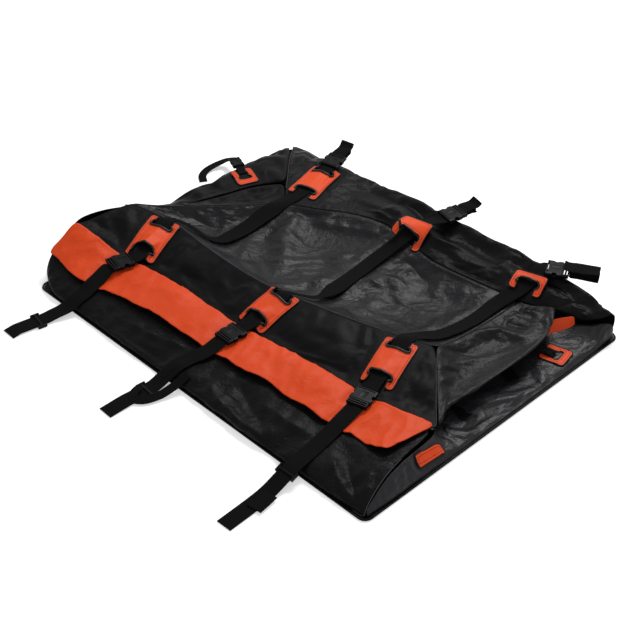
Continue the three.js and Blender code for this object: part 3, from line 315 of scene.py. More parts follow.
def tube(name, places, radius, resolution, material):
    """A round tube along places, as a mesh."""
    data = bpy.data.curves.new(name, "CURVE")
    data.dimensions = "3D"
    data.bevel_depth = radius
    data.bevel_resolution = resolution
    data.use_fill_caps = True
    spline = data.splines.new("POLY")
    spline.points.add(len(places) - 1)
    for point, place in zip(spline.points, places):
        point.co = (*place, 1)
    piece = bpy.data.objects.new(name, data)
    scene.collection.objects.link(piece)
    activate(piece)
    bpy.ops.object.convert(target="MESH")
    piece = bpy.context.object
    cover(piece.data, material)
    return piece


def distances(points):
    """How far along a line of points each of them is."""
    return np.concatenate([[0], np.cumsum(np.linalg.norm(np.diff(points, axis=0), axis=1))])


def dress(piece, body, slot, *replaced):
    for polygon in piece.data.polygons:
        polygon.use_smooth = True
    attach(piece, body)
    if replaced:
        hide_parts(*replaced)


def points_of(mesh):
    co = np.zeros(len(mesh.vertices) * 3)
    mesh.vertices.foreach_get("co", co)
    return co.reshape(-1, 3)


def set_points(mesh, points):
    mesh.vertices.foreach_set("co", points.astype(np.float32).ravel())
    mesh.update()


def normals_of(mesh):
    values = np.zeros(len(mesh.vertices) * 3, np.float32)
    mesh.vertex_normals.foreach_get("vector", values)
    return values.reshape(-1, 3)


# %% [markdown]
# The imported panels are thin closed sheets. Cloth starts from one face of such a sheet: the rim,
# which has very short edges, is taken away, and of the two faces that are left the outer one is
# kept. Its triangles are paired to quads, which subdivide evenly.

# %% The outer face of a packed sheet
RIM = 0.0021


def outer_face(node):
    mesh = nodes[node].data.copy()
    piece = new_piece(node + "_cloth", mesh, wall_cloth)
    edit_merged(piece)
    bpy.ops.mesh.select_all(action="DESELECT")
    work = bmesh.from_edit_mesh(mesh)
    for face in work.faces:
        face.select = min(edge.calc_length() for edge in face.edges) < RIM
    bpy.ops.mesh.delete(type="FACE")
    work = bmesh.from_edit_mesh(mesh)
    work.faces.ensure_lookup_table()
    left, islands = set(work.faces), []
    while left:
        island, front = [], [left.pop()]
        while front:
            face = front.pop()
            island.append(face)
            for edge in face.edges:
                for other in edge.link_faces:
                    if other in left:
                        left.discard(other)
                        front.append(other)
        islands.append(island)
    rise = [sum(face.normal.z * face.calc_area() for face in island) for island in islands]
    keep = set(islands[rise.index(max(rise))])
    for face in work.faces:
        face.select = face not in keep
    bpy.ops.mesh.delete(type="FACE")
    bpy.ops.mesh.select_all(action="SELECT")
    bpy.ops.mesh.tris_convert_to_quads(face_threshold=math.pi, shape_threshold=math.pi)
    bpy.ops.mesh.delete_loose()
    bpy.ops.object.mode_set(mode="OBJECT")
    quads = sum(1 for p in mesh.polygons if len(p.vertices) == 4)
    print(node, "outer face:", len(mesh.polygons), "faces,", quads, "quads")
    return piece


# %% [markdown]
# What lies on the cloth must stay on it. Every strap, patch and buckle is measured once, and a
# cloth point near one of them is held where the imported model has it.

# %% How free each cloth point is
lying = [n for n in nodes if n.startswith(("patch_", "cross_strap", "storm_flap", "zip_", "slider"))
         or n.endswith(("_patch", "_socket", "_prongs", "_tail", "_tether"))]


def tree_of(node):
    mesh = nodes[node].data
    return BVHTree.FromPolygons([v.co for v in mesh.vertices], [p.vertices for p in mesh.polygons])


lying_trees = [tree_of(node) for node in lying]


def freedom(points, near=0.006, far=0.04, trees=None):
    """0 where a point lies under one of the pieces, 1 where it is far from all of them."""
    free = np.ones(len(points))
    for k, point in enumerate(points):
        distance = far
        for tree in trees or lying_trees:
            hit = tree.find_nearest(Vector(point), distance)
            if hit[0] is not None:
                distance = min(distance, hit[3])
        share = min(1.0, max(0.0, (distance - near) / (far - near)))
        free[k] = share * share * (3 - 2 * share)
    return free


# %% Seams hold the cloth too
def seam_hold(mesh, reach):
    work = bmesh.new()
    work.from_mesh(mesh)
    edge_points = [v.co.copy() for v in work.verts if v.is_boundary]
    tree = kdtree.KDTree(len(edge_points))
    for k, point in enumerate(edge_points):
        tree.insert(point, k)
    tree.balance()
    held = np.array([tree.find(v.co)[2] for v in work.verts])
    work.free()
    share = np.clip(held / reach, 0, 1)
    return share * share * (3 - 2 * share)


# %% [markdown]
# The folds come in two ways. First a cloth simulation: each panel is given a little more cloth
# than its outline holds, is pinned at its seams and under its straps, and buckles into soft
# folds. How far a point may move is capped. Then the sharp creases of the coated cloth are
# pressed in along lines, as they are when such a bag is unpacked.

# %% Panels
panels = ["front_lower_wall", "front_upper_wall", "top_panel", "left_lower_wall", "left_upper_wall",
          "back_wall", "right_lower_wall", "right_upper_wall"]
cloths = {}
for panel in panels:
    cloth = outer_face(panel)
    modify(cloth, "SUBSURF", levels=2, render_levels=2)
    cloths[panel] = cloth

MOVE = 0.011
SPARE = -0.03


def simulate(piece, frames=22):
    """Lets the cloth buckle and gives how far the furthest point moved."""
    mesh = piece.data
    start = points_of(mesh)
    free = freedom(start) * seam_hold(mesh, 0.02)
    group = piece.vertex_groups.new(name="held")
    for k, share in enumerate(free):
        group.add([k], 1.0 - share if share < 0.98 else 0.0, "REPLACE")
    modifier = piece.modifiers.new("cloth", "CLOTH")
    settings = modifier.settings
    settings.quality = 5
    settings.mass = 0.25
    settings.tension_stiffness = settings.compression_stiffness = 12
    settings.shear_stiffness = 6
    settings.bending_stiffness = 0.35
    settings.vertex_group_mass = "held"
    settings.shrink_min = SPARE
    settings.effector_weights.gravity = 0.02
    modifier.collision_settings.use_collision = False
    modifier.point_cache.frame_start, modifier.point_cache.frame_end = 1, frames
    for step in range(1, frames + 1):
        scene.frame_set(step)
    settled = piece.evaluated_get(bpy.context.evaluated_depsgraph_get())
    moved = points_of(settled.data) - start
    piece.modifiers.remove(modifier)
    scene.frame_set(1)
    size = np.linalg.norm(moved, axis=1, keepdims=True)
    moved *= MOVE * np.tanh(size / MOVE) / np.maximum(size, 1e-9)
    moved[:, 2] = np.where(free < 0.5, np.minimum(moved[:, 2], 0), moved[:, 2])
    set_points(mesh, start + moved * free[:, None])
    return float(size.max())


for panel, cloth in cloths.items():
    print(panel, "moved up to", round(simulate(cloth) * 1000, 1), "mm before the cap")
    modify(cloth, "SUBSURF", levels=1, render_levels=1)


# %% Large folds
# Each fold has its height (below 0 for a hollow) and width in mm, and its line on the cloth.
FOLDS = {
    "top_panel": [
        (5, 10, [(-258, 3, 39), (-192, 92, 38), (-122, 195, 32), (-62, 276, 39)]),
        (4, 20, [(-133, -4, 47), (-50, 95, 39)]),
        (4, 8, [(-372, 142, 36), (-313, 152, 36), (-244, 151, 33), (-151, 158, 32)]),
        (4, 14, [(-323, 219, 45), (-231, 275, 41), (-124, 322, 48)]),
        (-4, 12, [(-368, 213, 50), (-264, 287, 47)]),
        (-6, 10, [(41, 318, 51), (60, 294, 45), (117, 275, 44), (181, 269, 43)]),
        (5, 8, [(57, 335, 57), (140, 330, 55), (237, 340, 57), (321, 356, 59)]),
        (5, 7, [(-4, 158, 37), (64, 169, 40), (149, 162, 38), (240, 180, 41), (307, 197, 45)]),
        (-4, 6, [(81, 123, 32), (153, 150, 36), (246, 153, 46)]),
        (3, 16, [(35, 29, 37), (154, 68, 41), (272, 103, 50)]),
    ],
    "back_wall": [
        (5, 7, [(24, 386, 86), (98, 399, 89), (168, 426, 80), (246, 432, 84)]),
        (-6, 9, [(135, 352, 62), (219, 369, 64), (335, 378, 66)]),
        (5, 9, [(152, 379, 72), (222, 398, 78), (315, 409, 77)]),
        (5, 6, [(-229, 379, 63), (-145, 386, 70), (-96, 386, 73)]),
        (-4, 8, [(-293, 380, 63), (-196, 396, 71), (-127, 393, 75)]),
    ],
    "right_upper_wall": [
        (6, 12, [(424, 347, 60), (494, 357, 70)]),
        (-5, 10, [(429, 278, 56), (496, 304, 63)]),
        (6, 12, [(397, 168, 62), (444, 240, 55), (536, 264, 71)]),
        (-7, 9, [(393, 50, 84), (432, 96, 62), (474, 130, 57)]),
        (6, 9, [(428, 16, 80), (468, 80, 59), (502, 172, 59), (525, 227, 66)]),
        (-6, 8, [(453, -12, 78), (485, 29, 62), (542, 36, 69)]),
        (5, 8, [(474, -39, 76), (521, -4, 63), (559, 0, 71)]),
    ],
    "front_lower_wall": [
        (8, 15, [(-4, -443, 36), (91, -482, 32), (212, -497, 23), (296, -494, 25)]),
        (-7, 13, [(81, -401, 39), (179, -442, 36), (264, -471, 34)]),
        (6, 13, [(183, -409, 38), (298, -418, 38), (390, -407, 40)]),
        (6, 12, [(-389, -456, 36), (-237, -438, 37), (-88, -401, 40)]),
        (-5, 12, [(-319, -485, 29), (-145, -481, 32), (-45, -479, 33)]),
        (7, 10, [(445, -414, 41), (507, -459, 38), (582, -495, 5)]),
        (-6, 9, [(496, -416, 42), (557, -452, 40), (605, -487, 23)]),
        (6, 9, [(574, -399, 51), (602, -456, 40)]),
    ],
    "front_upper_wall": [
        (-4, 14, [(-435, -231, 65), (-323, -215, 68), (-232, -201, 72)]),
        (5, 9, [(-178, -185, 76), (-156, -137, 86)]),
        (3, 5, [(95, -230, 56), (187, -200, 59), (260, -174, 63), (302, -179, 61)]),
        (-3, 18, [(72, -163, 74), (195, -132, 77), (285, -90, 81)]),
    ],
    "right_lower_wall": [
        (5, 9, [(549, -46, 8), (590, 34, 12), (632, 123, 11)]),
        (-5, 8, [(570, -116, 11), (594, -81, 11), (610, -28, 12)]),
        (4, 9, [(546, 37, 10), (566, 102, 11), (595, 192, 12)]),
    ],
    "left_upper_wall": [
        (5, 9, [(-568, 59, 62), (-543, 117, 56), (-429, 196, 60)]),
        (-4, 9, [(-543, 178, 52), (-485, 249, 53)]),
    ],
    "left_lower_wall": [
        (4, 9, [(-606, 355, 46), (-564, 289, 50)]),
    ],
}


def fold_lift(points, folds):
    """How high each point is raised by the folds near it."""
    lift = np.zeros(len(points))
    for height, width, route in folds:
        route = np.array(route, float) / 1000
        steps = np.linalg.norm(np.diff(route, axis=0), axis=1)
        total, done = steps.sum(), 0.0
        distance = np.full(len(points), 1.0)
        share = np.zeros(len(points))
        for start, end, step in zip(route, route[1:], steps):
            t = np.clip((points - start) @ (end - start) / step ** 2, 0, 1)
            here = np.linalg.norm(points - start - t[:, None] * (end - start), axis=1)
            nearer = here < distance
            share = np.where(nearer, (done + t * step) / total, share)
            distance = np.minimum(distance, here)
            done += step
        taper = np.sin(np.pi * np.clip(share, 0, 1)) ** 0.8
        lift += height / 1000 * taper * np.exp(-(distance / (width / 1000)) ** 1.5)
    return lift


# %% Creases pressed into the cloth
def noise_at(point, scale, seed):
    return noise.noise(Vector(point) * scale + Vector((seed, 0, 0)))


FOLD_GAIN = 1.6


def crinkle(piece, folds, amount, seed):
    mesh = piece.data
    points = points_of(mesh)
    normals = normals_of(mesh)
    free = freedom(points, near=0.004, far=0.022) * seam_hold(mesh, 0.012)
    lift = np.zeros(len(points))
    for k, point in enumerate(points):
        bend = noise_at(point, 6.0, seed) * 0.05
        spot = (point[0] + bend, point[1] - bend, point[2])
        ridge = 1 - abs(noise_at(spot, 9.0, seed + 7)) * 2.2
        second = 1 - abs(noise_at(spot, 19.0, seed + 19)) * 2.4
        fine = 1 - abs(noise_at(spot, 47.0, seed + 31)) * 2.4
        pull = ((spot[0] + spot[1]) * 0.2, spot[1] - spot[0], spot[2])
        drawn = 1 - abs(noise_at(pull, 17.0, seed + 53)) * 2.6
        patchy = max(0.0, 0.4 + noise_at(point, 7.0, seed + 41) * 1.6)
        lift[k] = (ridge * 0.6 + second * 0.35 + drawn * 0.55 + fine * 0.14) * patchy
        lift[k] += noise_at(point, 4.0, seed + 3) * 1.3
    lift = lift * amount + fold_lift(points, folds) * FOLD_GAIN
    set_points(mesh, points + normals * (lift * free)[:, None])


for number, (panel, cloth) in enumerate(cloths.items()):
    crinkle(cloth, FOLDS.get(panel, []), 0.0026 if panel != "front_upper_wall" else 0.0014, 11 + 5 * number)

# %% [markdown]
# The seams show as thin round ridges, a lighter grey than the cloth: a painted highlight along them. Each is
# a round tube along part of a panel's border.

# %% Seams
def border_of(mesh):
    """The longest loop of border points, in order."""
    work = bmesh.new()
    work.from_mesh(mesh)
    left = {edge for edge in work.edges if edge.is_boundary}
    loops = []
    while left:
        edge = left.pop()
        loop = [edge.verts[0], edge.verts[1]]
        while True:
            onward = [e for e in loop[-1].link_edges if e in left]
            if not onward:
                break
            left.discard(onward[0])
            loop.append(onward[0].other_vert(loop[-1]))
        loops.append([tuple(v.co) for v in loop])
    work.free()
    return np.array(max(loops, key=len))


def seam_ridge(name, places, radius=0.0011):
    places = [(x, y, z + radius * 0.4) for x, y, z in places]
    ridge = tube(name, places, radius, 2, seam_painted_highlight)
    dress(ridge, "bag", "wall_fabric")


def longest_run(border, wanted):
    """The longest run of border points that pass a test."""
    start = int(np.argmin(wanted))
    order = np.roll(np.arange(len(border)), -start)
    runs, run = [], []
    for k in order:
        if wanted[k]:
            run.append(k)
        elif run:
            runs.append(run)
            run = []
    runs.append(run)
    return border[max(runs, key=len)]


SEAMS = {
    "front_top": ("top_panel", lambda b: (b[:, 1] < -0.02) & (b[:, 0] < 0.40)),
    "front_right_upper": ("front_upper_wall", lambda b: b[:, 0] > 0.42),
    "front_right_lower": ("front_lower_wall", lambda b: b[:, 0] > 0.6),
    "back_left": ("back_wall", lambda b: (b[:, 0] < -0.45) & (b[:, 2] > 0.03)),
}
for name, (panel, test) in SEAMS.items():
    border = border_of(cloths[panel].data)
    places = longest_run(border, test(border))
    seam_ridge(name + "_seam", places)
    print(name, "seam of", len(places), "points from", places[0].round(3), "to", places[-1].round(3))

FABRIC = 0.0016
# The right walls' cloths carry painted light in their lighter base colour.
PANEL_CLOTHS = {
    "top_panel": top_cloth, "right_upper_wall": painted_lit_side_cloth, "right_lower_wall": painted_lit_low_side_cloth,
    "front_upper_wall": plain_cloth, "left_upper_wall": plain_cloth, "left_lower_wall": plain_cloth,
}
for panel, cloth in cloths.items():
    modify(cloth, "SOLIDIFY", thickness=FABRIC, offset=-1)
    cover(cloth.data, PANEL_CLOTHS.get(panel, wall_cloth))
    dress(cloth, "bag", "satin_fabric" if panel == "top_panel" else "wall_fabric", panel)
    lo, hi = Vector(cloth.bound_box[0]), Vector(cloth.bound_box[6])
    print(panel, len(cloth.data.polygons), "faces", [round(x, 3) for x in hi - lo])

# %% [markdown]
# The storm flap is one long strip of orange cloth, sewn above the zip and loose at its lower edge.
# It is made from its packed sheet like the panels, and its own soft waves run across it.

# %% Storm flap
riding_trees = [tree_of(node) for node in nodes
                if node.endswith(("_socket", "_prongs", "_tail")) or node.startswith("cross_strap")]


def flap_waves(piece, amount, seed):
    mesh = piece.data
    points = points_of(mesh)
    normals = normals_of(mesh)
    free = freedom(points, near=0.001, far=0.02, trees=riding_trees)
    lift = np.zeros(len(points))
    for k, point in enumerate(points):
        soft = noise_at((point[0] * 1.6, point[1] * 0.5, 0), 9.0, seed)
        crease = 1 - abs(noise_at((point[0] * 1.3, point[1] * 0.7, 0), 21.0, seed + 5)) * 2.3
        lift[k] = max(0.0, 0.5 + soft * 0.9 + crease * 0.35)
    points = points + normals * (lift * free * amount)[:, None]
    tops = border_of(mesh)
    for k, point in enumerate(points):
        near = tops[np.abs(tops[:, 0] - point[0]) < 0.012]
        low, high = near[:, 1].min(), near[:, 1].max()
        share = np.clip((high - point[1]) / max(high - low, 1e-6), 0, 1) ** 2
        points[k, 1] += share * free[k] * noise_at((point[0], 0, 0), 10.0, seed + 9) * amount * 1.3
    set_points(mesh, points)


flaps = {}
for number, node in enumerate(("storm_flap", "storm_flap_right")):
    flap = outer_face(node)
    modify(flap, "SUBSURF", levels=3, render_levels=3)
    flap_waves(flap, 0.009, 71 + number)
    modify(flap, "SOLIDIFY", thickness=FABRIC, offset=-1)
    cover(flap.data, orange_cloth)
    dress(flap, "bag", "orange_fabric", node)
    flaps[node] = flap
print("flap faces:", [len(f.data.polygons) for f in flaps.values()])

# %% [markdown]
# Webbing lies in a smooth line from one buckle to the next. Each strap follows the same plan line
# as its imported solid, and its height is read from that solid, so that it lies where the solid
# lies. It is a strip of quads with a map of its own length, for the weave.

# %% Smooth plan lines
def smooth_route(points, step=0.008):
    """A centripetal curve through plan points, in equal steps."""
    p = [np.array(q, float)[:2] for q in points]
    p = [2 * p[0] - p[1], *p, 2 * p[-1] - p[-2]]
    fine = []
    for a, b, c, d in zip(p, p[1:], p[2:], p[3:]):
        t = [0.0]
        for first, second in ((a, b), (b, c), (c, d)):
            t.append(t[-1] + max(np.linalg.norm(second - first), 1e-6) ** 0.5)
        for s in np.linspace(t[1], t[2], 24, endpoint=False):
            ab = a * (t[1] - s) / (t[1] - t[0]) + b * (s - t[0]) / (t[1] - t[0])
            bc = b * (t[2] - s) / (t[2] - t[1]) + c * (s - t[1]) / (t[2] - t[1])
            cd = c * (t[3] - s) / (t[3] - t[2]) + d * (s - t[2]) / (t[3] - t[2])
            abc = ab * (t[2] - s) / (t[2] - t[0]) + bc * (s - t[0]) / (t[2] - t[0])
            bcd = bc * (t[3] - s) / (t[3] - t[1]) + cd * (s - t[1]) / (t[3] - t[1])
            fine.append(abc * (t[2] - s) / (t[2] - t[1]) + bcd * (s - t[1]) / (t[2] - t[1]))
    fine.append(p[-2])
    fine = np.array(fine)
    lengths = distances(fine)
    places = np.linspace(0, lengths[-1], max(2, int(round(lengths[-1] / step)) + 1))
    return np.array([[np.interp(s, lengths, fine[:, k]) for k in (0, 1)] for s in places])


def heading(angle):
    return np.array([math.cos(math.radians(angle)), math.sin(math.radians(angle))])


# %% Webbing strips
WEBBING_WIDTH = 0.048
SIDE_WEBBING_WIDTH = 0.025
WEBBING_THICK = 0.002


def sideways(line):
    """The direction across a plan line at each of its points."""
    along = np.gradient(line, axis=0)
    along /= np.linalg.norm(along, axis=1, keepdims=True)
    return np.stack([along[:, 1], -along[:, 0]], axis=1)


def thicken(piece):
    """Gives a strip its thickness below its upper face."""
    if sum(polygon.normal.z for polygon in piece.data.polygons) < 0:
        piece.data.flip_normals()
    modify(piece, "SOLIDIFY", thickness=WEBBING_THICK, offset=-1)
    modify(piece, "BEVEL", width=0.0006, segments=2, limit_method="ANGLE", angle_limit=math.radians(50))


def strip_mesh(name, rows, lengths, width):
    """Quads through rows of points, with the strap's own map."""
    columns = len(rows[0])
    mesh = bpy.data.meshes.new(name)
    faces = [(i * columns + j, i * columns + j + 1, (i + 1) * columns + j + 1, (i + 1) * columns + j)
             for i in range(len(rows) - 1) for j in range(columns - 1)]
    mesh.from_pydata([tuple(p) for row in rows for p in row], [], faces)
    layer = mesh.uv_layers.new(name="route")
    across = np.linspace(-width / 2, width / 2, columns)
    for loop in mesh.loops:
        i, j = divmod(loop.vertex_index, columns)
        layer.data[loop.index].uv = (across[j], lengths[i])
    return mesh


def strap(name, node, parts, body, width=WEBBING_WIDTH, bunched=None):
    line = np.concatenate([smooth_route(part)[(1 if k else 0):] for k, part in enumerate(parts)])
    tree = tree_of(node)
    side = sideways(line)
    across = np.linspace(-1, 1, 7) * (width / 2)
    rows = []
    for k, place in enumerate(line):
        row = []
        share = 1.0
        if bunched:
            middle = np.array(bunched[:2]) * MM
            share = 1 - 0.62 * math.exp(-(np.linalg.norm(place - middle) / (bunched[2] * MM)) ** 4)
        for a in across * share:
            spot = place + side[k] * a * 0.985
            hit = tree.ray_cast(Vector((spot[0], spot[1], 1.0)), Vector((0, 0, -1)))[0]
            if hit is None:
                hit = tree.find_nearest(Vector((spot[0], spot[1], rows[-1][3][2] if rows else 0.06)))[0]
            row.append([place[0] + side[k][0] * a, place[1] + side[k][1] * a, hit.z])
        rows.append(row)
    rows = np.array(rows)
    for _ in range(3):
        smooth = rows.copy()
        smooth[1:-1, :, 2] = (rows[:-2, :, 2] + 2 * rows[1:-1, :, 2] + rows[2:, :, 2]) / 4
        rows = smooth
    lengths = distances(rows[:, 3])
    mesh = strip_mesh(name, rows, lengths, width)
    piece = new_piece(name, mesh, webbing)
    activate(piece)
    bpy.ops.object.mode_set(mode="EDIT")
    bpy.ops.mesh.select_all(action="SELECT")
    bpy.ops.mesh.normals_make_consistent(inside=False)
    bpy.ops.object.mode_set(mode="OBJECT")
    thicken(piece)
    dress(piece, body, "webbing", node)
    print(name, "length", round(lengths[-1], 3), "m,", len(mesh.polygons), "faces")


# %% Where the buckles are
MM = 0.001
BUCKLES = {
    "front_left": (-494, -292, -102.7), "front_middle": (-52, -272, -91.7), "front_right": (372, -206, -74.3),
    "back_left": (-438, 451, 105), "back_middle": (26, 468, 78), "back_right": (397.8, 488, 30),
    "left_rear": (-641.8, 265, 158), "right_rear": (532, 293, 191),
}
SIDE_ENDS = ("left_rear", "right_rear")
REACH, SIDE_REACH = 65.0, 45.0


def reaching(name):
    x, y, angle = BUCKLES[name]
    way = heading(angle)
    return [tuple(np.array([x, y]) - 12 * way), tuple(np.array([x, y]) - 0.5 * way)]


def past(name):
    """The plan place where the webbing leaves a buckle."""
    x, y, angle = BUCKLES[name]
    return tuple(np.array([x, y]) + (SIDE_REACH if name in SIDE_ENDS else REACH) * heading(angle))


CROSS = {
    "left": [(-490, -268), (-512, -190), (-536, -112), (-528, -82), (-490, -62), (-440, -54), (-408, -30),
             (-402, 20), (-404, 140), (-403, 297), (-412, 350)],
    "middle": [(-50, -240), (-50, -90), (-30, -50), (-10, -20), (-14, 60), (-20, 107), (-30, 242),
               (-19.5, 340), (-8, 390), (9, 430)],
    "right": [(362, -175), (338, -90), (314, 5), (318, 40), (345, 95), (362, 205), (364, 314),
              (378, 382), (385, 420), (386, 444)],
}
BUNCHED = {"left": (-478, -58, 78), "middle": (-26, -38, 62)}
for name, route in CROSS.items():
    line = [*reversed(reaching("front_" + name)), *route, *reaching("back_" + name)]
    strap("webbing_across_" + name, "cross_strap_" + name, [np.array(line) * MM], "bag",
          bunched=BUNCHED.get(name))

TAILS = {
    "front_left": ([(-504, -400), (-500, -470), (-508, -520), (-520, -556)], [(-525, -578), (-544, -666)],
                   [(-545, -695)]),
    "front_middle": ([(-60, -385), (-78, -430), (-88, -490), (-92, -522)], [(-94, -548), (-103, -640)],
                     [(-106, -707)]),
    "front_right": ([(396, -342), (402, -421), (405, -470)], [(407, -513), (410, -600)],
                    [(412, -640), (415, -757)]),
}
for name, (wall, flat, floor) in TAILS.items():
    parts = [[past(name), *wall, flat[0]], flat, [flat[1], *floor]]
    strap(name + "_webbing", name + "_tail", [np.array(p) * MM for p in parts], name + "_strap_end")
SIDE_ROUTES = {
    "left_rear_tether": [(-606, 249), (-624, 257), (-641.5, 264.5)],
    "left_rear_tail": [past("left_rear"), (-706, 295), (-730, 290), (-746, 265), (-752, 231), (-742, 200),
                       (-716, 181)],
    "right_rear_tether": [(588, 306), (560, 299.5), (532.5, 293)],
}
for node, line in SIDE_ROUTES.items():
    body = "left_rear_strap_end" if node.endswith("_tail") else "bag"
    strap(node + "_webbing", node, [np.array(line) * MM], body, SIDE_WEBBING_WIDTH)

# %% [markdown]
# The middle tail runs back on itself: its spare end leaves the triglide, turns on the floor and
# comes back along the other side. The right tail lies doubled as far as a step in its edge.

# %% Spare strands
def strand(name, body, places, width, lean=0.0):
    """A strip of webbing through places in mm that have a height of their own."""
    places = np.array(places, float) * MM
    plan = smooth_route(places[:, :2])
    marks, done = distances(places[:, :2]), distances(plan)
    heights = np.interp(done / done[-1] * marks[-1], marks, places[:, 2])
    side = sideways(plan)
    rows = np.array([[[*(place + flank * a), height + lean * (a + width / 2)]
                      for a in np.linspace(-width / 2, width / 2, 7)]
                     for place, flank, height in zip(plan, side, heights)])
    lengths = distances(rows[:, 3])
    piece = new_piece(name, strip_mesh(name, rows, lengths, width), webbing)
    thicken(piece)
    dress(piece, body, "webbing")
    print(name, "length", round(lengths[-1], 3), "m")


strand("front_middle_spare_webbing", "front_middle_strap_end",
       [(-36, -476, 38), (-40, -508, 22), (-50, -560, 8), (-68, -606, 6), (-92, -622, 6), (-108, -604, 9),
        (-112, -580, 12)], 0.026, lean=0.2)
strand("front_right_doubled_webbing", "front_right_strap_end",
       [(420, -604, 9), (424, -632, 8), (428, -668, 7.5)], 0.046)

# %% [markdown]
# The ends at the back and the sides are folded on themselves and hang on behind their buckles.
# Each is one strip that runs to and fro, with round turns, and its last end curls up a little.

# %% Folded ends
def folded_end(name, length, layers, curl):
    way = heading(BUCKLES[name][2])
    side = np.array([-way[1], way[0]])
    width = SIDE_WEBBING_WIDTH if name in SIDE_ENDS else WEBBING_WIDTH
    lo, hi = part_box(name + "_tail")
    start, length = np.array(past(name)) * MM, length * MM
    pitch = (hi.z - lo.z - 0.0022) / (layers - 1)
    path = []
    for k in range(layers):
        level = k * pitch
        there = np.linspace(0.0025, length - 0.0025 - 0.0006 * (k % 3), 14)
        if k % 2:
            there = there[::-1]
        path += [(s, level + 0.0005 * math.sin(90 * s + k)) for s in there]
        if k < layers - 1:
            turn = path[-1][0]
            out = 1 if k % 2 == 0 else -1
            path += [(turn + out * pitch / 2 * math.sin(t), level + pitch / 2 * (1 - math.cos(t)))
                     for t in np.linspace(0.5, math.pi - 0.5, 5)]
    last = path[-1]
    back = 1 if layers % 2 else -1
    path += [(last[0] + back * s, last[1] + curl * (s / 0.02) ** 2) for s in np.linspace(0.004, 0.02, 5)]
    rows = []
    for k, (s, z) in enumerate(path):
        wander = 0.0015 * math.sin(k * 0.23 + start[0] * 1000)
        rows.append([[*(start + way * s + side * (a + wander)),
                      lo.z + 0.0011 + z + 0.0008 * math.sin(k * 0.4 + a * 60)]
                     for a in np.linspace(-1, 1, 5) * (width / 2 - 0.001)])
    rows = np.array(rows)
    lengths = distances(rows[:, 2])
    mesh = strip_mesh(name + "_folded_webbing", rows, lengths, width)
    piece = new_piece(name + "_folded_webbing", mesh, webbing)
    modify(piece, "SOLIDIFY", thickness=WEBBING_THICK * 0.9, offset=0)
    modify(piece, "SUBSURF", levels=1, render_levels=1)
    dress(piece, name + "_strap_end", "webbing", name + "_tail")
    print(name, "folded end,", round(lengths[-1], 3), "m of webbing")


for name, length, layers, curl in (("back_left", 44, 5, 0.012), ("back_middle", 40, 5, 0.012),
                                   ("back_right", 84, 8, 0.006), ("right_rear", 30, 3, 0.002)):
    folded_end(name, length, layers, curl)

# %% [markdown]
# The patches are cut from orange cloth with round corners. At each end the strap comes out of a
# slot with a moulded frame and runs out between two legs, so the cut looks like a keyhole. The
# outline is a distance: a grid is trimmed by it, and its border points are pulled onto it. Then
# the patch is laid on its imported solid.

# %% Patch outline
patches = {}
NECK, SLOT_LONG, SLOT_WIDE = 0.026, 0.033, 0.0085
CORNER = 0.012
PATCH_STEP = 0.003


def round_box(a, c, half_a, half_c, radius):
    qa, qc = np.abs(a) - half_a + radius, np.abs(c) - half_c + radius
    return np.hypot(np.maximum(qa, 0), np.maximum(qc, 0)) + np.minimum(np.maximum(qa, qc), 0) - radius


def patch_distance(a, c, half_width, length, scale, ends):
    body = round_box(a, c - length / 2, half_width, length / 2, CORNER)
    for end in ends:
        b = c if end == 0 else length - c
        neck = round_box(a, b, NECK, 0.028 * scale, 0.002)
        slot = round_box(a, b - 0.0305 * scale, SLOT_LONG, SLOT_WIDE * scale, SLOT_WIDE * scale * 0.98)
        body = np.maximum(body, -np.minimum(neck, slot))
    return body


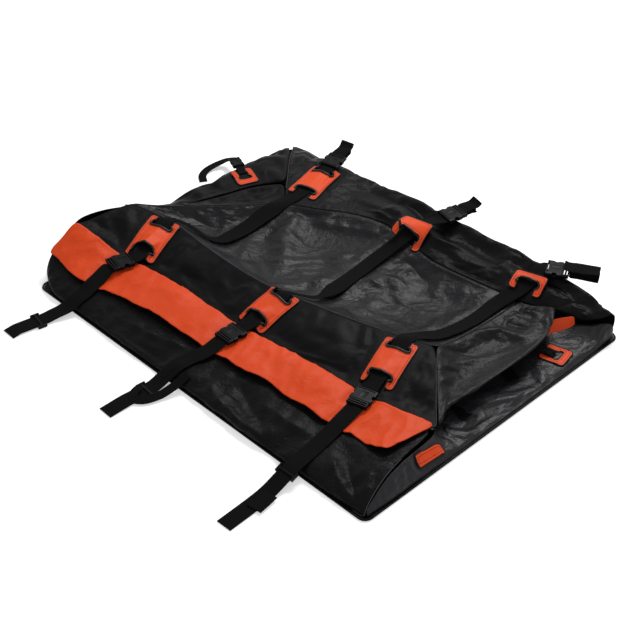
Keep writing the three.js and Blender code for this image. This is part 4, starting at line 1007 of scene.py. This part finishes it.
def lay_and_cut(piece, measure, a, c, centre, side, forward, tree, step, smoothing=3):
    """Pulls the border onto the outline, lays the grid on its solid and trims it."""
    mesh = piece.data
    tiny = 1e-4
    for _ in range(2):
        distance = measure(a, c)
        slope_a = (measure(a + tiny, c) - measure(a - tiny, c)) / (2 * tiny)
        slope_c = (measure(a, c + tiny) - measure(a, c - tiny)) / (2 * tiny)
        near = np.abs(distance) < step * 0.62
        a = np.where(near, a - distance * slope_a, a)
        c = np.where(near, c - distance * slope_c, c)
    places = centre + np.outer(a, side) + np.outer(c, forward)
    heights = []
    for x, y in places:
        hit = tree.ray_cast(Vector((x, y, -1.0)), Vector((0, 0, 1)))[0]
        heights.append(hit.z if hit else np.nan)
    heights = np.array(heights)
    known = ~np.isnan(heights)
    if smoothing > 3:
        terms = np.column_stack([np.ones(len(a)), a, c, c * c, a * c]) / [1, 0.1, 0.1, 0.01, 0.01]
        fit = np.linalg.lstsq(terms[known], heights[known], rcond=None)[0]
        heights = terms @ fit
        for k, (x, y) in enumerate(places):
            for under in crest_trees:
                hit = under.ray_cast(Vector((x, y, 1.0)), Vector((0, 0, -1)))[0]
                if hit:
                    heights[k] = max(heights[k], hit.z + 0.0005)
        known[:] = True
    kd = kdtree.KDTree(int(known.sum()))
    for k, spot in enumerate(places[known]):
        kd.insert((spot[0], spot[1], 0), k)
    kd.balance()
    values = heights[known]
    for k in np.where(~known)[0]:
        heights[k] = values[kd.find((places[k][0], places[k][1], 0))[1]]
    set_points(mesh, np.column_stack([places, heights + 0.0018]))
    inside = measure(a, c) < 1e-5
    activate(piece)
    edge = mesh.attributes.new("edge", "FLOAT", "POINT")
    edge.data.foreach_set("value", np.maximum(0, -measure(a, c)).astype(np.float32))
    bpy.ops.object.mode_set(mode="EDIT")
    bpy.ops.mesh.select_all(action="DESELECT")
    work = bmesh.from_edit_mesh(mesh)
    work.verts.ensure_lookup_table()
    for face in work.faces:
        face.select = not all(inside[v.index] for v in face.verts)
    bpy.ops.mesh.delete(type="FACE")
    bpy.ops.mesh.select_all(action="SELECT")
    bpy.ops.mesh.delete_loose()
    bpy.ops.object.mode_set(mode="OBJECT")
    activate(piece)
    modify(piece, "SMOOTH", factor=0.5, iterations=smoothing, use_x=False, use_y=False)
    if sum(p.normal.z for p in mesh.polygons) < 0:
        mesh.flip_normals()
    modify(piece, "SOLIDIFY", thickness=0.0015, offset=-1)
    cover(mesh, patch_cloth)


def patch_grid(name, node, centre, toward, half_width):
    """A flat grid for a patch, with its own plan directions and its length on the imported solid."""
    centre = np.array(centre) * MM
    forward = np.array(toward, float) / np.linalg.norm(toward)
    side = np.array([forward[1], -forward[0]])
    length = float(((points_of(nodes[node].data)[:, :2] - centre) @ forward).max())
    bpy.ops.object.select_all(action="DESELECT")
    bpy.ops.mesh.primitive_grid_add(x_subdivisions=int(2 * half_width / PATCH_STEP) + 4,
                                    y_subdivisions=int(length / PATCH_STEP) + 4, size=1)
    piece = bpy.context.object
    piece.name = name
    points = points_of(piece.data)
    a = points[:, 0] * (2 * half_width + 3 * PATCH_STEP)
    c = points[:, 1] * (length + 3 * PATCH_STEP) + length / 2
    return piece, a, c, centre, side, forward, tree_of(node), length


def patch(name, node, centre, toward, half_width, full_length, ends):
    piece, a, c, centre, side, forward, tree, length = patch_grid(name, node, centre, toward, half_width)
    scale = length / (full_length * MM)
    measure = lambda a, c: patch_distance(a, c, half_width, length, scale, ends)
    lay_and_cut(piece, measure, a, c, centre, side, forward, tree, PATCH_STEP, 3 if len(ends) == 2 else 8)
    dress(piece, "bag", "orange_fabric", node)
    patches[name] = (piece, 2 * half_width, full_length * MM)
    for end in ends:
        slot_frame(f"{name}_frame_{end}", centre, forward, side, length, scale, end, tree)
    print(name, "on", node, len(piece.data.polygons), "faces")


def slot_frame(name, centre, forward, side, length, scale, end, tree):
    """A moulded rim round the slot, open where the strap runs out over it."""
    middle = 0.0305 * scale
    long, wide = SLOT_LONG - SLOT_WIDE + 0.001, SLOT_WIDE * scale + 0.001
    outline = []
    for t in np.linspace(-0.5 * math.pi, 0.5 * math.pi, 9):
        outline.append((long + wide * math.cos(t), middle + wide * math.sin(t)))
    for a in np.linspace(long, -long, 9)[1:-1]:
        outline.append((a, middle + wide))
    for t in np.linspace(0.5 * math.pi, 1.5 * math.pi, 9):
        outline.append((-long + wide * math.cos(t), middle + wide * math.sin(t)))
    height, places = None, []
    for a, b in outline:
        c = b if end == 0 else length - b
        spot = centre + side * a + forward * c
        hit = tree.ray_cast(Vector((spot[0], spot[1], -1.0)), Vector((0, 0, 1)))[0]
        if hit is None:
            hit = tree.find_nearest(Vector((spot[0], spot[1], height or 0.07)))[0]
        height = hit.z
        places.append((spot[0], spot[1], hit.z + 0.0028))
    rim = tube(name, places, 0.0036, 3, frame_plastic)
    modify(rim, "SMOOTH", factor=0.4, iterations=2)
    dress(rim, "bag", "plastic")


# %% Patch cloth, with a bound edge and a line of stitching
def patch_finish():
    finish = Finish("patch_cloth")
    edge = finish.add("ShaderNodeAttribute", {"attribute_name": "edge"}, output="Fac")
    cloudy = finish.noise(9.0, detail=5.0)
    fine = finish.noise(60.0, detail=5.0)
    cloth = finish.blend(cloudy * 0.6 + fine * 0.4, (0.59, 0.046, 0.008), (0.73, 0.08, 0.017))
    bound = finish.add("ShaderNodeMapRange", {}, {"Value": edge, "From Min": 0.0026, "From Max": 0.0036})
    seam = finish.add("ShaderNodeMapRange", {}, {"Value": (edge - 0.0075).size(), "From Min": 0.0003,
                                               "From Max": 0.001})
    colour = finish.blend(bound, (0.012, 0.003, 0.002), finish.blend(seam, (0.36, 0.028, 0.008), cloth))
    finish.surface_set(Base_Color=colour, Roughness=0.42 + fine * 0.2, Specular_IOR_Level=0.14)
    finish.bump(((finish.noise(16.0, detail=3.0, distortion=0.8) - 0.5).size(), 0.003), (seam, 0.0006),
                (fine, 0.0008))
    return finish.material


patch_cloth = patch_finish()
crest_trees = [BVHTree.FromPolygons([v.co for v in cloths[panel].data.vertices],
                                    [polygon.vertices for polygon in cloths[panel].data.polygons])
               for panel in ("top_panel", "back_wall")]
for name, centre, toward, length, ends in (
        ("front_left", (-490, -269), (-0.29, 0.95), 164, (0, 1)),
        ("front_middle", (-50, -240), (0, 1), 156, (0, 1)),
        ("front_right", (366, -173), (-0.3, 0.95), 172, (0, 1)),
        ("back_left", (-391, 287), (-0.26, 0.97), 166, (0, 1)),
        ("back_middle", (-4, 327), (-0.1, 0.995), 92, (0,)),
        ("back_right", (397, 388), (-0.24, 0.97), 68, (0,))):
    patch(name + "_patch", "patch_" + name, centre, toward, 0.05, length, ends)

# %% [markdown]
# The side patches are short tongues. The two at the rear have one slot at their far end, and where a strap
# end is clipped to one, its webbing runs through that slot. The tab at the front right has no slot.

# %% Side patches
SIDE_NECK, SIDE_NOTCH = 0.0148, 0.048
TAB_WIDTH_ON_SLOPE = 0.044


def side_patch(name, node, centre, toward, half_width, slotted):
    piece, a, c, centre, side, forward, tree, length = patch_grid(name, node, centre, toward, half_width)

    def measure(a, c):
        distance = round_box(a, c - length / 2, half_width, length / 2, CORNER if slotted else 0.005)
        if slotted:
            neck = round_box(a, c - length, SIDE_NECK, SIDE_NOTCH, 0.002)
            slot = round_box(a, c - length + SIDE_NOTCH, SIDE_NECK + 0.005, 0.0065, 0.0065)
            distance = np.maximum(distance, -np.minimum(neck, slot))
        return distance

    lay_and_cut(piece, measure, a, c, centre, side, forward, tree, PATCH_STEP)
    dress(piece, "bag", "orange_fabric", node)
    patches[name] = (piece, 2 * half_width if slotted else TAB_WIDTH_ON_SLOPE, length)
    print(name, len(piece.data.polygons), "faces")


side_patch("right_rear_side_patch", "right_rear_patch", (626, 318), (-0.98, -0.19), 0.035, True)
side_patch("left_rear_side_patch", "left_rear_patch", (-556, 230), (-0.94, 0.34), 0.035, True)
side_patch("right_front_side_patch", "right_front_patch", (622, -284), (0.02, 1), 0.013, False)

# %% [markdown]
# A side-release buckle is two mouldings. The socket is a flat sleeve with round ends, open at the
# front and cut away at the sides, where the arms of the other half show. That half has a base
# with two slots for the webbing, two sprung arms and a guide between them. Both are modelled once
# at the origin, pointing along X, and each buckle gets a copy.

# %% Buckle sizes
SOCKET_LONG, SOCKET_WIDE, SOCKET_THICK = 0.044, 0.064, 0.014
HOLLOW_WIDE, HOLLOW_THICK = 0.051, 0.008
BASE_START, BASE_END, BASE_WIDE = 0.0445, 0.0645, 0.060
BASE_LOW, BASE_HIGH = 0.001, 0.013


# %% The two halves
def slab(name, lo, hi):
    bpy.ops.object.select_all(action="DESELECT")
    bpy.ops.mesh.primitive_cube_add(size=1, location=[(a + b) / 2 for a, b in zip(lo, hi)])
    piece = bpy.context.object
    piece.name = name
    piece.scale = [b - a for a, b in zip(lo, hi)]
    bpy.ops.object.transform_apply(location=True, rotation=False, scale=True)
    return piece


def cut(piece, lo, hi, segments=0):
    """Cuts a box-shaped hole through a moulding."""
    tool = slab("tool", lo, hi)
    if segments:
        modify(tool, "BEVEL", width=min(hi[0] - lo[0], hi[1] - lo[1]) * 0.3, segments=segments)
    modify(piece, "BOOLEAN", object=tool, operation="DIFFERENCE", solver="EXACT")
    bpy.data.objects.remove(tool)


def round_long_edges(piece, radius):
    bpy.ops.object.mode_set(mode="EDIT")
    bpy.ops.mesh.select_all(action="DESELECT")
    work = bmesh.from_edit_mesh(piece.data)
    for edge in work.edges:
        along = (edge.verts[1].co - edge.verts[0].co).normalized()
        edge.select = abs(along.x) > 0.9
    bpy.ops.mesh.bevel(offset=radius, segments=4)
    bpy.ops.object.mode_set(mode="OBJECT")


def moulded_socket():
    piece = slab("socket_pattern", (0, -SOCKET_WIDE / 2, 0), (SOCKET_LONG, SOCKET_WIDE / 2, SOCKET_THICK))
    round_long_edges(piece, 0.0048)
    cut(piece, (0.007, -HOLLOW_WIDE / 2, (SOCKET_THICK - HOLLOW_THICK) / 2),
        (SOCKET_LONG + 0.01, HOLLOW_WIDE / 2, (SOCKET_THICK + HOLLOW_THICK) / 2))
    for side in (-1, 1):
        ends = sorted((side * 0.0235, side * 0.05))
        cut(piece, (0.017, ends[0], -0.001), (0.033, ends[1], SOCKET_THICK + 0.001), segments=3)
    cut(piece, (0.0022, -0.0255, -0.001), (0.0052, 0.0255, SOCKET_THICK + 0.001))
    cut(piece, (0.011, -0.010, SOCKET_THICK - 0.0012), (0.039, 0.010, SOCKET_THICK + 0.001), segments=3)
    modify(piece, "BEVEL", width=0.0007, segments=2, limit_method="ANGLE", angle_limit=math.radians(40))
    return piece


def moulded_prongs():
    base = slab("prongs_pattern", (BASE_START, -BASE_WIDE / 2, BASE_LOW),
                (BASE_END, BASE_WIDE / 2, BASE_HIGH))
    round_long_edges(base, 0.004)
    for start in (0.0495, 0.0575):
        cut(base, (start, -0.0245, 0), (start + 0.0035, 0.0245, SOCKET_THICK))
    parts = [base]
    for side in (-1, 1):
        inner, outer = side * 0.0165, side * 0.0245
        arm = slab("arm", (0.0165, min(inner, outer), 0.0045),
                   (BASE_START + 0.002, max(inner, outer), 0.0095))
        bpy.ops.object.mode_set(mode="EDIT")
        bpy.ops.mesh.select_all(action="SELECT")
        bpy.ops.mesh.subdivide(number_cuts=3)
        work = bmesh.from_edit_mesh(arm.data)
        for vert in work.verts:
            lean = min(1.0, max(0.0, (0.030 - vert.co.x) / 0.0135))
            vert.co.y -= side * 0.004 * lean * lean
        bmesh.update_edit_mesh(arm.data)
        bpy.ops.object.mode_set(mode="OBJECT")
        parts.append(arm)
    parts.append(slab("guide", (0.0215, -0.0045, 0.0048), (BASE_START + 0.002, 0.0045, 0.0092)))
    bpy.ops.object.select_all(action="DESELECT")
    for part in parts[1:]:
        modify(base, "BOOLEAN", object=part, operation="UNION", solver="EXACT")
        bpy.data.objects.remove(part)
    modify(base, "BEVEL", width=0.0006, segments=2, limit_method="ANGLE", angle_limit=math.radians(40))
    return base


socket_pattern, prongs_pattern = moulded_socket(), moulded_prongs()
SMALL = (30 / 44, 37 / 64, 10 / 14)
for name, (x, y, angle) in BUCKLES.items():
    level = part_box(name + "_buckle_socket")[0].z
    where = Matrix.Translation((x * MM, y * MM, level)) @ Matrix.Rotation(math.radians(angle), 4, "Z")
    if name in SIDE_ENDS:
        where = where @ Matrix.Diagonal((*SMALL, 1))
    for pattern, part, body in ((socket_pattern, "buckle_socket", "bag"),
                                (prongs_pattern, "buckle_prongs", name + "_strap_end")):
        mesh = pattern.data.copy()
        mesh.transform(where)
        half = new_piece(f"{name}_{part}_moulding", mesh, buckle_plastic)
        dress(half, body, "plastic", f"{name}_{part}")
        activate(half)
        bpy.ops.object.shade_smooth_by_angle(angle=math.radians(35))
for pattern in (socket_pattern, prongs_pattern):
    print(pattern.name, len(pattern.data.polygons), "faces")
    bpy.data.objects.remove(pattern)

# %% [markdown]
# The triglides, the zip sliders and the zip's chain have their true shape in the imported model. They stay;
# the triglides and the sliders get a small bevel on their edges, which is a modifier and leaves their mesh
# alone.

# %% Pieces that stay
for node, piece in nodes.items():
    if node.endswith("_triglide") or node.startswith("slider_"):
        bevel = piece.modifiers.new("edge", "BEVEL")
        bevel.width, bevel.segments = 0.0004, 2
        bevel.limit_method, bevel.angle_limit = "ANGLE", math.radians(40)
        cover(piece.data, buckle_plastic if node.endswith("_triglide") else zip_plastic)
cover(nodes["zip_chain"].data, zip_plastic)
cover(nodes["base_panel"].data, wall_cloth)


# %% [markdown]
# Piping runs round the base. It is round cord in a fold of cloth, so a merged copy of its solid
# is smoothed and takes the place of the facets.

# %% Base piping
piping = new_piece("base_piping_cord", nodes["base_piping"].data.copy(), wall_cloth)
edit_merged(piping)
bpy.ops.object.mode_set(mode="OBJECT")
dress(piping, "bag", "wall_fabric", "base_piping")
bpy.ops.object.shade_smooth_by_angle(angle=math.radians(60))

# %% [markdown]
# The cut sizes of the real cloth aren't known. Each panel's length is a round figure, and its width and its
# area are worked back from the modelled cloth, so the sheet area test can't fail on them and proves nothing.
# Against walls 435 mm high and a top of 1300 by 1000 mm, five panels hold too little cloth: the top, the
# back, both left walls and the right lower one, whose hidden folds aren't modelled. A patch's width and
# length are the imported model's, taken from the photo, apart from the corner tab's width, and its area is
# worked back too.

# %% Sheets
def cloth_area(piece):
    return sum(polygon.area for polygon in piece.data.polygons) / 2


PANEL_LENGTHS = {
    "front_lower_wall": 1.3, "front_upper_wall": 1.2, "top_panel": 1.1, "left_lower_wall": 0.95,
    "left_upper_wall": 0.7, "back_wall": 1.3, "right_lower_wall": 1.0, "right_upper_wall": 0.8,
    "storm_flap": 1.25, "storm_flap_right": 0.25,
}
CUT_SHARE = 0.94
for panel, length in PANEL_LENGTHS.items():
    cloth = {**cloths, **flaps}[panel]
    area = cloth_area(cloth)
    width = area / length / CUT_SHARE
    print(f"{panel}: flat {width * 1000:.0f} x {length * 1000:.0f} mm, {area:.3f} m2")

for name, (cloth, width, length) in patches.items():
    area = cloth_area(cloth)
    print(f"{name}: flat {width * 1000:.0f} x {length * 1000:.0f} mm, {area * 1e4:.0f} cm2")

# %% [markdown]
# The photograph has a pure white ground with a very faint shadow. The floor is pale and gives a
# little light of its own to the camera only, so it clips to white away from the bag.

# %% Stage and lights
FLOOR_GLOW, WORLD_LIGHT, WORLD_SEEN = 0.42, 0.42, 1.0


def build_stage():
    bpy.ops.object.select_all(action="DESELECT")
    bpy.ops.mesh.primitive_plane_add(size=14, location=(0, 0, -0.0005))
    floor = bpy.context.object
    floor.name = "studio_floor"
    finish = Finish("studio_floor")
    tree = finish.tree
    matt = finish.add("ShaderNodeBsdfDiffuse", {}, {"Color": (0.85, 0.85, 0.85, 1)})
    glow = finish.add("ShaderNodeEmission", {}, {
        "Color": (1, 1, 1, 1), "Strength": finish.seen_directly() * FLOOR_GLOW})
    both = finish.add("ShaderNodeAddShader", {}, {0: matt, 1: glow})
    tree.nodes.remove(finish.surface)
    tree.links.new(both.socket, tree.nodes["Material Output"].inputs["Surface"])
    floor.data.materials.append(finish.material)


def build_world():
    finish = Finish("studio", "worlds")
    strength = finish.add("ShaderNodeMapRange", {}, {
        "Value": finish.seen_directly(), "To Min": WORLD_LIGHT, "To Max": WORLD_SEEN})
    background = finish.tree.nodes["Background"]
    finish.put(background.inputs["Strength"], strength)
    background.inputs["Color"].default_value = (1, 1, 1, 1)
    scene.world = finish.material


def softbox(name, place, aim, size, power):
    data = bpy.data.lights.new(name, "AREA")
    data.shape = "RECTANGLE"
    data.size, data.size_y = size
    data.energy = power
    lamp = bpy.data.objects.new(name, data)
    lamp.location = place
    lamp.rotation_euler = (Vector(place) - Vector(aim)).to_track_quat("Z", "Y").to_euler()
    scene.collection.objects.link(lamp)


build_stage()
build_world()
softbox("key_softbox", (-0.75, 2.15, 3.05), (0, 0, 0), (1.5, 1.1), 110)
softbox("fill_softbox", (2.8, -2.2, 2.4), (0, 0, 0), (1.2, 1.2), 25)
